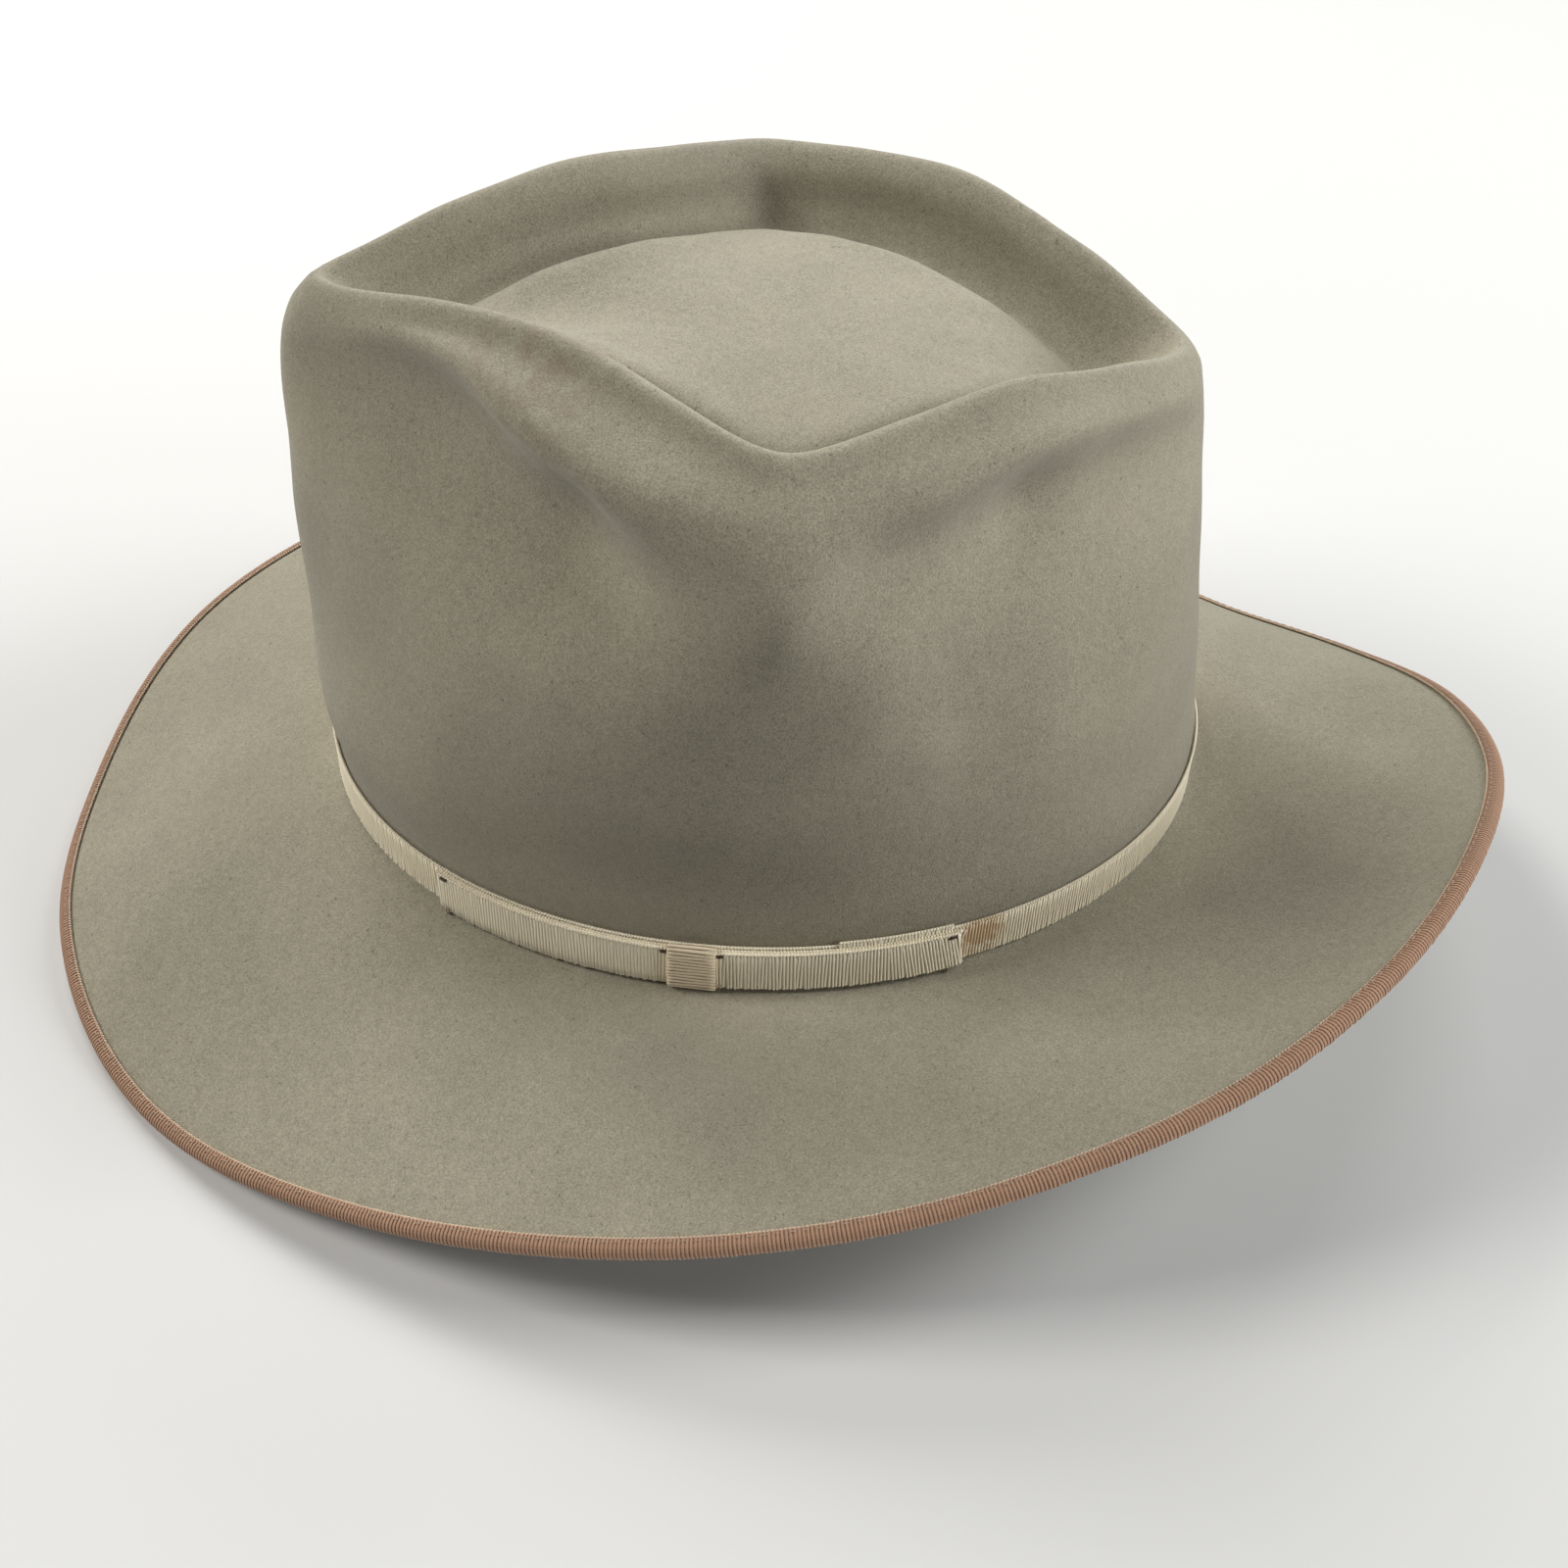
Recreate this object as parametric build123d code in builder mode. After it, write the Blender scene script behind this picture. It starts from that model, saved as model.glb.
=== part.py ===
from build123d import *

# Cowboy hat in felt, with a creased diamond crown, a shaped and bound brim, a narrow
# ribbon with a flat bow on the wearer's left, and the leather and satin fittings inside.
# Millimetres. +Z is up, -Y is the front of the hat, +X is the wearer's left.
# The origin is the middle of the head opening, where the crown meets the brim.
# Angles run round the hat in degrees: 0 is the back, 90 the left, 180 the front, 270 the right.

import os
from math import cos, exp, hypot, pi, radians, sin, sqrt

# ---- crown ----
CROWN_HALF_WIDTH = 86.0
CROWN_HALF_LENGTH = 101.0
CROWN_HEIGHT = 121.0
FELT = 2.2
BREAK_RADIUS = 1.8

# The crest is the rim of the crease. Seen from above it is a diamond with soft corners.
CREST_HALF_WIDTH = 68.0
CREST_FRONT = 92.0
CREST_REAR = 84.0
CREST_FRONT_FULLNESS = 1.0
CREST_REAR_FULLNESS = 1.25
CREST_ROUND = 4.6
CREST_CORNER = 0.06
CREST_DIP = [
    (0, 18.5), (22, 10), (45, 3), (70, 3.5), (90, 5.5), (110, 2), (140, -2), (162, 0.5), (180, 5.5),
]

# Inside the crest: a groove, then the low dome that it goes round.
DOME_HEIGHT = 106.5
DOME_EDGE_DROP = [(0, 7), (45, 13), (90, 12), (140, 13), (180, 9)]
GROOVE_DROP = [(0, 12), (45, 17.5), (90, 16), (140, 17.5), (180, 13)]

# Under the crest: the roll of the crease, the pinched valley, and the slope below it.
ROLL_OUT = [
    (0, 5.5), (20, 8), (45, 11), (65, 10.5), (80, 10), (92, 11), (105, 15.5), (118, 18), (135, 15.5),
    (150, 10), (165, 6.5), (180, 7.5),
]
ROLL_DROP = [
    (0, 7), (20, 7), (45, 7.5), (65, 8.5), (80, 8.5), (92, 9), (105, 11), (118, 12), (135, 9.5),
    (150, 6), (165, 5.5), (180, 9),
]
VALLEY_OUT = [
    (0, 5.5), (20, 6.5), (45, 8), (65, 9), (80, 11.5), (92, 18), (105, 17.5), (118, 14), (135, 11),
    (150, 7), (165, 5.5), (180, 7.8),
]
VALLEY_DROP = [
    (0, 15), (20, 15), (45, 19), (65, 19), (80, 19), (92, 22), (105, 27), (118, 28), (135, 21.5),
    (150, 14), (165, 12), (180, 15),
]
SLOPE_OUT = [
    (0, 0.92), (20, 0.905), (45, 0.865), (65, 0.88), (80, 0.955), (92, 0.995), (105, 0.985),
    (118, 0.955), (135, 0.91), (150, 0.905), (165, 0.945), (180, 1.015),
]
SLOPE_LEVEL = [
    (0, 0.59), (20, 0.58), (45, 0.6), (65, 0.63), (80, 0.65), (92, 0.62), (105, 0.58), (118, 0.56),
    (135, 0.55), (150, 0.58), (165, 0.6), (180, 0.65),
]
SHOULDER_OUT = [
    (0, 0.955), (45, 0.935), (65, 0.945), (80, 0.985), (95, 1), (118, 0.995), (135, 0.98), (150, 0.965),
    (165, 0.985), (180, 1.02),
]
SHOULDER_LEVEL = 0.385
WALL_OUT = [(0, 0.985), (55, 0.975), (90, 0.985), (180, 1.02)]
WALL_LEVEL = 0.19

# ---- brim: width and edge height, round the whole hat ----
BRIM_WIDTH = 65.0
BRIM_EXTRA = [
    (0, 3), (25, 4.5), (50, 4), (75, 0), (100, 0), (125, 3), (150, 8.5), (165, 6), (180, 2.5), (205, 2),
    (225, 1.5), (270, -1), (312, -5), (335, -9),
]
BRIM_EDGE = [
    (0, 6), (20, 23.5), (38, 24.5), (62, 15.5), (78, 7), (94, 0.3), (114, -8), (130, -16), (147, -22),
    (165, -20), (180, -20.5), (202, -14.5), (217, -13), (250, -9), (280, -8), (308, -15), (330, -20),
    (348, -8),
]
BRIM_CURL = [(0, 2.0), (45, 1.7), (90, 1.3), (180, 1.25), (270, 1.2), (330, 1.2)]
BRIM_STATIONS = (0.10, 0.25, 0.45, 0.65, 0.82, 0.92, 0.97, 1.0)

# ---- ribbon, binding and thread ----
RIBBON = 0.4
RIBBON_GAP = 0.15
BINDING_WIDTH = 3.0
THREAD_RADIUS = 0.2
THREAD_GAP = 0.05
BINDING_SEAM_INSET = 0.8
ROUND_SECTION = [(cos(pi * k / 3), sin(pi * k / 3)) for k in range(6)]
THREAD_SECTION = [(a * THREAD_RADIUS, b * THREAD_RADIUS) for a, b in ROUND_SECTION]
BAND_WIDTH = 10.0
BAND_BASE = 1.3
BAND_GAP = 0.3
LAP_RAISE = 1.2
LAP_FROM = 66.5
LAP_TO = 82.0

# ---- flat bow over the band ----
KEEPER_ANGLE = 101.9
KEEPER_WIDTH = 10.0
FRONT_LOOP_ANGLE = 138.0
REAR_LOOP_ANGLE = 66.3
LOOP_GAP = 0.3
TACK_LENGTH = 2.0
TACK_INSET = 2.5

# ---- sweatband ----
LEATHER = 0.9
LEATHER_HEIGHT = 46.0
LEATHER_LEAN = 1.2
LEATHER_STEPS = 6
SWEAT_GAP = 0.3
TAPE = 0.3
TAPE_OUTER_LEG = 5.0
TAPE_INNER_LEG = 3.0
REED_RADIUS = 0.6
REED_GAP = 0.15
REED_LEVEL = -0.95
SWEAT_SEAM_LEVEL = 2.0
SWEAT_BOW_LENGTH = 22.0
SWEAT_BOW_HEIGHT = 7.0
SWEAT_BOW_LEVEL = 8.0
SWEAT_BOW_THICKNESS = 0.8
SWEAT_BOW_GAP = 0.5
SWEAT_KNOT_LENGTH = 5.0
SWEAT_KNOT_HEIGHT = 5.0
SWEAT_KNOT_THICKNESS = 1.4

# ---- lining ----
SATIN = 0.4
LINING_FOOT = 8.0
LINING_LEAN = 0.8
LINING_BEND_SHARE = 0.496
LINING_BEND_INSET = 7.0
LINING_TIP_DROP = 38.0
TIP_HALF_WIDTH = 55.0
TIP_HALF_LENGTH = 69.0
PIPING_RADIUS = 0.7
PROTECTOR = 0.3
PROTECTOR_MARGIN = 14.0
LINING_GAP = 0.2

# ---- how finely the felt is drawn ----
RING_POINTS = 48
SPAN_STEPS = 2
ANGLES = [360.0 * i / RING_POINTS for i in range(RING_POINTS)]


def hermite(start, end, slope_start, slope_end, span, t):
    """Cubic between two values, with the slopes at both ends."""
    a = 2 * t**3 - 3 * t**2 + 1
    b = t**3 - 2 * t**2 + t
    c = 3 * t**2 - 2 * t**3
    d = t**3 - t**2
    return start * a + slope_start * (b * span) + end * c + slope_end * (d * span)


def knot_slope(before, here, after):
    """Slope at a knot, weighted so that the nearer neighbour counts more."""
    left = here[0] - before[0]
    right = after[0] - here[0]
    return ((here[1] - before[1]) * right / left + (after[1] - here[1]) * left / right) / (left + right)


def around(knots, angle):
    """Smooth value at an angle, through knots that go once round the hat."""
    angle = angle % 360
    count = len(knots)
    last = max(i for i in range(count) if knots[i][0] <= angle)

    def knot(i):
        turn, place = divmod(i, count)
        return (knots[place][0] + 360 * turn, knots[place][1])

    here, after = knot(last), knot(last + 1)
    slopes = [knot_slope(knot(i - 1), knot(i), knot(i + 1)) for i in (last, last + 1)]
    span = after[0] - here[0]
    return hermite(here[1], after[1], slopes[0], slopes[1], span, (angle - here[0]) / span)


def both_sides(knots, angle):
    """Smooth value for a shape that is the same on the left and the right."""
    mirrored = [(360 - place, value) for place, value in reversed(knots) if 0 < place < 180]
    return around(knots + mirrored, angle)


def oval_radius(angle, inset=0.0):
    """Distance from the middle to the crown's base oval."""
    across = sin(radians(angle)) / (CROWN_HALF_WIDTH - inset)
    along = cos(radians(angle)) / (CROWN_HALF_LENGTH - inset)
    return 1 / hypot(across, along)


def softened(share):
    """Size of a share from -1 to 1, with the sharp turn at nought rounded off."""
    return (sqrt(share**2 + CREST_CORNER**2) - CREST_CORNER) / (sqrt(1 + CREST_CORNER**2) - CREST_CORNER)


def crest_radius(angle):
    """Distance from the middle to the crest, a diamond with soft corners."""
    across = softened(sin(radians(angle)))
    along = softened(cos(radians(angle)))
    rearward = 1 / (1 + exp(-6 * cos(radians(angle))))
    fullness = CREST_FRONT_FULLNESS + (CREST_REAR_FULLNESS - CREST_FRONT_FULLNESS) * rearward
    reach = CREST_FRONT + (CREST_REAR - CREST_FRONT) * rearward
    return ((across / CREST_HALF_WIDTH) ** fullness + (along / reach) ** fullness) ** (-1 / fullness)


def polar(angle, radius, height):
    """Point at an angle round the hat."""
    return Vector(radius * sin(radians(angle)), radius * cos(radians(angle)), height)


def outward(angle):
    """Level direction square to the base oval."""
    base = polar(angle, oval_radius(angle), 0)
    return Vector(base.X / CROWN_HALF_WIDTH**2, base.Y / CROWN_HALF_LENGTH**2, 0).normalized()


def crown_stations(angle):
    """Points down the crown's outside, from near the middle of the dome to the wall's foot."""
    base = oval_radius(angle)
    crest = crest_radius(angle)
    top = CROWN_HEIGHT - both_sides(CREST_DIP, angle)
    edge = top - both_sides(DOME_EDGE_DROP, angle)
    groove = both_sides(GROOVE_DROP, angle)
    stations = [
        (0.30 * crest, DOME_HEIGHT + (edge - DOME_HEIGHT) * 0.10),
        (0.55 * crest, DOME_HEIGHT + (edge - DOME_HEIGHT) * 0.55),
        (0.69 * crest, edge),
        (0.79 * crest, top - groove),
        (0.88 * crest, top - 0.74 * groove),
        (crest - CREST_ROUND, top - 0.7 * CREST_ROUND),
        (crest, top),
        (crest + CREST_ROUND, top - 0.8 * CREST_ROUND),
        (crest + both_sides(ROLL_OUT, angle), top - both_sides(ROLL_DROP, angle)),
        (crest + both_sides(VALLEY_OUT, angle), top - both_sides(VALLEY_DROP, angle)),
        (base * both_sides(SLOPE_OUT, angle), CROWN_HEIGHT * both_sides(SLOPE_LEVEL, angle)),
        (base * both_sides(SHOULDER_OUT, angle), CROWN_HEIGHT * SHOULDER_LEVEL),
        (base * both_sides(WALL_OUT, angle), CROWN_HEIGHT * WALL_LEVEL),
        (base, BAND_BASE + BAND_WIDTH + LAP_RAISE),
        (base, BAND_BASE + BAND_WIDTH / 2),
    ]
    return [polar(angle, radius, height) for radius, height in stations]


def brim_stations(angle):
    """Points from the wall's foot round the break and out to the brim's edge."""
    foot = polar(angle, oval_radius(angle), 0)
    out = outward(angle)
    up = Vector(0, 0, 1)
    edge = around(BRIM_EDGE, angle)
    width = sqrt((BRIM_WIDTH + around(BRIM_EXTRA, angle)) ** 2 - edge**2)
    curl = around(BRIM_CURL, angle)
    mid = BREAK_RADIUS * (1 - sqrt(0.5))
    points = [foot + up * BREAK_RADIUS, foot + out * mid + up * mid, foot + out * BREAK_RADIUS]
    points += [foot + out * (width * share) + up * (edge * share**curl) for share in BRIM_STATIONS]
    return points


def smooth_profile(points):
    """More points along the smooth curve through the given ones."""
    lengths = [(b - a).length for a, b in zip(points, points[1:])]
    slopes = [(points[1] - points[0]) * (1 / lengths[0])]
    for i in range(1, len(points) - 1):
        near, far = lengths[i - 1], lengths[i]
        step = (points[i] - points[i - 1]) * (far / near) + (points[i + 1] - points[i]) * (near / far)
        slopes.append(step * (1 / (near + far)))
    slopes.append((points[-1] - points[-2]) * (1 / lengths[-1]))
    fine = []
    for i, span in enumerate(lengths):
        for step in range(SPAN_STEPS):
            fine.append(hermite(points[i], points[i + 1], slopes[i], slopes[i + 1], span, step / SPAN_STEPS))
    return fine + [points[-1]]


# Profiles of the felt's outside, one for each angle, all with the same number of points.
PROFILES = [smooth_profile(crown_stations(angle) + brim_stations(angle)) for angle in ANGLES]
LEVELS = len(PROFILES[0])
WALL_FIRST = 10 * SPAN_STEPS
WALL_LAST = 15 * SPAN_STEPS


def felt_normal(i, j):
    """Outward direction of the felt at profile i and level j."""
    before, after = PROFILES[i - 1][j], PROFILES[(i + 1) % RING_POINTS][j]
    inner, outer = PROFILES[i][max(j - 1, 0)], PROFILES[i][min(j + 1, LEVELS - 1)]
    return (after - before).cross(outer - inner).normalized()


NORMALS = [[felt_normal(i, j) for j in range(LEVELS)] for i in range(RING_POINTS)]


def ring(points):
    """Smooth closed wire through the points."""
    with BuildLine() as line:
        Spline(*points, periodic=True)
    return line.wire()


def felt_ring(level, depth):
    """Ring of the felt at one level, at a depth under its outside."""
    return ring([PROFILES[i][level] - NORMALS[i][level] * depth for i in range(RING_POINTS)])


def brim_edge_ring(inward, lift):
    """Ring along the brim's edge: a distance in from the edge, and a lift off the felt's top."""
    points = []
    for i in range(RING_POINTS):
        edge, before = PROFILES[i][-1], PROFILES[i][-2]
        away = (edge - before).normalized()
        points.append(edge - away * inward + NORMALS[i][-1] * lift)
    return ring(points)


def wall_point(i, height, inset):
    """Point inside the crown's wall at a height: the outside moved inward by the inset."""
    profile = PROFILES[i][WALL_FIRST:WALL_LAST + 1]
    height = min(max(height, profile[-1].Z), profile[0].Z)
    for upper, lower in zip(profile, profile[1:]):
        if lower.Z <= height <= upper.Z:
            share = (height - lower.Z) / (upper.Z - lower.Z)
            return lower + (upper - lower) * share - outward(ANGLES[i]) * inset
    raise ValueError("no wall at this height")


def wall_ring(height, inset):
    """Ring inside the crown's wall. Below the wall's foot it stays straight down."""
    points = [wall_point(i, height, inset) for i in range(RING_POINTS)]
    return ring([Vector(point.X, point.Y, height) for point in points])


def oval_ring(half_width, half_length, height):
    """Level oval ring with its points at the same angles as the others."""
    points = []
    for angle in ANGLES:
        radius = 1 / hypot(sin(radians(angle)) / half_width, cos(radians(angle)) / half_length)
        points.append(polar(angle, radius, height))
    return ring(points)


def strip(rings):
    """Closed solid with a flat-sided section: the rings are its corners, in order."""
    faces = []
    for near, far in zip(rings, rings[1:] + rings[:1]):
        faces += Shell.make_loft([near, far], ruled=True).faces()
    return Solid(Shell(faces))


def felt_layer(outer, inner):
    """Closed solid between two skins that start at a point each and meet along an edge."""
    faces = []
    for near, far in zip(outer + inner[:0:-1], outer[1:] + inner[::-1]):
        faces += Shell.make_loft([near, far], ruled=True).faces()
    return Solid(Shell(faces))


def sector(angle_from, angle_to, inset_from, inset_to):
    """Outline, seen from above, of a curved strip outside the crown's wall."""
    steps = 10
    angles = [angle_from + (angle_to - angle_from) * i / steps for i in range(steps + 1)]
    near = [polar(angle, oval_radius(angle), 0) + outward(angle) * inset_from for angle in angles]
    far = [polar(angle, oval_radius(angle), 0) + outward(angle) * inset_to for angle in angles]
    with BuildLine() as outline:
        Spline(*near)
        Line(near[-1], far[-1])
        Spline(*reversed(far))
        Line(far[0], near[0])
    return outline.wire()


def degrees_for(length, angle):
    """Angle round the hat that covers a length along the band."""
    return length / oval_radius(angle) * 180 / pi


# ---- where each layer outside the wall begins ----
BAND_IN = BAND_GAP
BAND_OUT = BAND_IN + RIBBON
LAP_OUT = BAND_OUT + RIBBON
KEEPER_BACK_IN = BAND_OUT + RIBBON_GAP
KEEPER_BACK_OUT = KEEPER_BACK_IN + RIBBON
BOW_IN = max(KEEPER_BACK_OUT, LAP_OUT) + RIBBON_GAP
BOW_OUT = BOW_IN + 2 * RIBBON + LOOP_GAP
KEEPER_FRONT_IN = BOW_OUT + RIBBON_GAP
KEEPER_FRONT_OUT = KEEPER_FRONT_IN + RIBBON
BAND_TOP = BAND_BASE + BAND_WIDTH

# ---- where each layer inside the wall begins ----
TAPE_BACK_IN = FELT + SWEAT_GAP
LEATHER_IN = TAPE_BACK_IN + TAPE + SWEAT_GAP
TAPE_FRONT_IN = LEATHER_IN + LEATHER + SWEAT_GAP
TAPE_FRONT_OUT = TAPE_FRONT_IN + TAPE
REED_IN = (TAPE_BACK_IN + TAPE + TAPE_FRONT_IN) / 2
TAPE_FLOOR = REED_LEVEL - REED_RADIUS - REED_GAP
LEATHER_FOOT = REED_LEVEL + REED_RADIUS + SWEAT_GAP
LINING_BEND_LEVEL = CROWN_HEIGHT * LINING_BEND_SHARE
LINING_TIP_LEVEL = CROWN_HEIGHT - LINING_TIP_DROP


def leather_inset(height):
    """How far the back of the leather stands in from the crown's outside."""
    return LEATHER_IN + LEATHER_LEAN * (height - LEATHER_FOOT) / (LEATHER_HEIGHT - LEATHER_FOOT)


def lining_inset(height):
    """How far the back of the lining stands in from the crown's outside, behind the leather."""
    return TAPE_BACK_IN + LINING_LEAN * (height - LINING_FOOT) / (LEATHER_HEIGHT - LINING_FOOT)


os.makedirs("parts", exist_ok=True)

# ---- felt body: crown and brim in one piece ----
dome_top = Vertex(0, 0, DOME_HEIGHT)
dome_underside = Vertex(0, 0, DOME_HEIGHT - FELT)
felt_outside = [dome_top] + [felt_ring(level, 0) for level in range(LEVELS)]
felt_inside = [dome_underside] + [felt_ring(level, FELT) for level in range(LEVELS)]
felt_solid = felt_layer(felt_outside, felt_inside)
with BuildPart() as felt_body:
    add(felt_solid)
felt_body.part.label = "felt_body"
export_step(felt_body.part, "parts/felt_body.step")

# ---- brim binding: ribbon folded over the felt's edge ----
TOP_IN = RIBBON_GAP
TOP_OUT = RIBBON_GAP + RIBBON
UNDER_IN = -FELT - RIBBON_GAP
UNDER_OUT = -FELT - RIBBON_GAP - RIBBON
binding_section = [
    (BINDING_WIDTH, TOP_OUT),
    (0, TOP_OUT),
    (-TOP_OUT, 0),
    (-TOP_OUT, -FELT),
    (0, UNDER_OUT),
    (BINDING_WIDTH, UNDER_OUT),
    (BINDING_WIDTH, UNDER_IN),
    (-TOP_IN, UNDER_IN),
    (-TOP_IN, TOP_IN),
    (BINDING_WIDTH, TOP_IN),
]
binding_solid = strip([brim_edge_ring(inward, lift) for inward, lift in binding_section])
with BuildPart() as brim_binding:
    add(binding_solid)
brim_binding.part.label = "brim_binding"
export_step(brim_binding.part, "parts/brim_binding.step")

# ---- binding stitching: one thread above and one below ----
seam = BINDING_WIDTH - BINDING_SEAM_INSET
seam_lift = THREAD_RADIUS + THREAD_GAP
thread_above = strip([brim_edge_ring(seam + a, TOP_OUT + seam_lift + b) for a, b in THREAD_SECTION])
thread_below = strip([brim_edge_ring(seam + a, UNDER_OUT - seam_lift + b) for a, b in THREAD_SECTION])
with BuildPart() as binding_stitching:
    add([thread_above, thread_below])
binding_stitching.part.label = "binding_stitching"
export_step(binding_stitching.part, "parts/binding_stitching.step")

# ---- hatband: one ribbon round the crown, its end lapped under the bow ----
lap_outline = sector(LAP_FROM, LAP_TO, (BAND_IN + BAND_OUT) / 2, LAP_OUT)
with BuildPart() as hatband:
    with BuildSketch(Plane.XY.offset(BAND_BASE)):
        Ellipse(CROWN_HALF_WIDTH + BAND_OUT, CROWN_HALF_LENGTH + BAND_OUT)
        Ellipse(CROWN_HALF_WIDTH + BAND_IN, CROWN_HALF_LENGTH + BAND_IN, mode=Mode.SUBTRACT)
    extrude(amount=BAND_WIDTH)
    with BuildSketch(Plane.XY.offset(BAND_BASE + LAP_RAISE)):
        with BuildLine():
            add(lap_outline)
        make_face()
    extrude(amount=BAND_WIDTH)
hatband.part.label = "hatband"
export_step(hatband.part, "parts/hatband.step")

# ---- bow: two flat loops of ribbon, open towards the keeper and folded at the tip ----
half_joint = degrees_for(RIBBON_GAP, KEEPER_ANGLE)
fold = degrees_for(RIBBON, KEEPER_ANGLE)
loops = {
    "bow_front_loop": (KEEPER_ANGLE + half_joint, FRONT_LOOP_ANGLE, fold),
    "bow_rear_loop": (KEEPER_ANGLE - half_joint, REAR_LOOP_ANGLE, -fold),
}
for loop_name, (root, tip, tip_fold) in loops.items():
    loop_outline = sector(root, tip, BOW_IN, BOW_OUT)
    loop_hollow = sector(root - tip_fold, tip - tip_fold, BOW_IN + RIBBON, BOW_OUT - RIBBON)
    with BuildPart() as bow_loop:
        with BuildSketch(Plane.XY.offset(BAND_BASE)):
            with BuildLine():
                add(loop_outline)
            make_face()
            with BuildLine():
                add(loop_hollow)
            make_face(mode=Mode.SUBTRACT)
        extrude(amount=BAND_WIDTH)
    bow_loop.part.label = loop_name
    export_step(bow_loop.part, f"parts/{loop_name}.step")

# ---- keeper: a short ribbon sleeve round the middle of the bow ----
keeper_half = degrees_for(KEEPER_WIDTH / 2, KEEPER_ANGLE)
keeper_rear = KEEPER_ANGLE - keeper_half
keeper_front = KEEPER_ANGLE + keeper_half
keeper_outline = sector(keeper_rear, keeper_front, KEEPER_BACK_IN, KEEPER_FRONT_OUT)
keeper_hollow = sector(keeper_rear - fold, keeper_front + fold, KEEPER_BACK_OUT, KEEPER_FRONT_IN)
with BuildPart() as bow_keeper:
    with BuildSketch(Plane.XY.offset(BAND_BASE - RIBBON_GAP - RIBBON)):
        with BuildLine():
            add(keeper_outline)
        make_face()
    extrude(amount=BAND_WIDTH + 2 * (RIBBON_GAP + RIBBON))
    with BuildSketch(Plane.XY.offset(BAND_BASE - RIBBON_GAP)):
        with BuildLine():
            add(keeper_hollow)
        make_face()
    extrude(amount=BAND_WIDTH + 2 * RIBBON_GAP, mode=Mode.SUBTRACT)
bow_keeper.part.label = "bow_keeper"
export_step(bow_keeper.part, "parts/bow_keeper.step")

# ---- bow tacks: two short stitches that hold the tip of each loop ----
with BuildPart() as bow_tacks:
    for tip, side in ((FRONT_LOOP_ANGLE, -1), (REAR_LOOP_ANGLE, 1)):
        tack_angle = tip + side * degrees_for(TACK_INSET, tip)
        stand = BOW_OUT + THREAD_GAP + THREAD_RADIUS
        foot = polar(tack_angle, oval_radius(tack_angle), 0) + outward(tack_angle) * stand
        for level in (BAND_BASE + THREAD_RADIUS, BAND_TOP - TACK_LENGTH - THREAD_RADIUS):
            with BuildSketch(Plane.XY.offset(level)):
                with Locations((foot.X, foot.Y)):
                    Circle(THREAD_RADIUS)
            extrude(amount=TACK_LENGTH)
bow_tacks.part.label = "bow_tacks"
export_step(bow_tacks.part, "parts/bow_tacks.step")

# ---- sweatband: a leather ring that leans a little away from the felt ----
leather_step = (LEATHER_HEIGHT - LEATHER_FOOT) / LEATHER_STEPS
leather_levels = [LEATHER_FOOT + leather_step * i for i in range(LEATHER_STEPS + 1)]
leather_back = [wall_ring(level, leather_inset(level)) for level in leather_levels]
leather_face = [wall_ring(level, leather_inset(level) + LEATHER) for level in leather_levels]
leather_solid = strip(leather_back + leather_face[::-1])
with BuildPart() as sweatband:
    add(leather_solid)
sweatband.part.label = "sweatband"
export_step(sweatband.part, "parts/sweatband.step")

# ---- reed tape: folded round the reed, its two legs hold the leather's lower edge ----
tape_section = [
    (TAPE_OUTER_LEG, TAPE_BACK_IN),
    (TAPE_FLOOR - TAPE, TAPE_BACK_IN),
    (TAPE_FLOOR - TAPE, TAPE_FRONT_OUT),
    (TAPE_INNER_LEG, TAPE_FRONT_OUT),
    (TAPE_INNER_LEG, TAPE_FRONT_IN),
    (TAPE_FLOOR, TAPE_FRONT_IN),
    (TAPE_FLOOR, TAPE_BACK_IN + TAPE),
    (TAPE_OUTER_LEG, TAPE_BACK_IN + TAPE),
]
tape_solid = strip([wall_ring(height, inset) for height, inset in tape_section])
with BuildPart() as reed_tape:
    add(tape_solid)
reed_tape.part.label = "reed_tape"
export_step(reed_tape.part, "parts/reed_tape.step")

# ---- reed: the springy rod that keeps the head opening's shape ----
reed_rings = []
for a, b in ROUND_SECTION:
    reed_rings.append(wall_ring(REED_LEVEL + a * REED_RADIUS, REED_IN + b * REED_RADIUS))
reed_solid = strip(reed_rings)
with BuildPart() as sweatband_reed:
    add(reed_solid)
sweatband_reed.part.label = "sweatband_reed"
export_step(sweatband_reed.part, "parts/sweatband_reed.step")

# ---- sweatband stitching: the thread through tape and leather ----
stitch_in = TAPE_FRONT_OUT + THREAD_GAP + THREAD_RADIUS
stitch_solid = strip([wall_ring(SWEAT_SEAM_LEVEL + a, stitch_in + b) for a, b in THREAD_SECTION])
with BuildPart() as sweatband_stitching:
    add(stitch_solid)
sweatband_stitching.part.label = "sweatband_stitching"
export_step(sweatband_stitching.part, "parts/sweatband_stitching.step")

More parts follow.
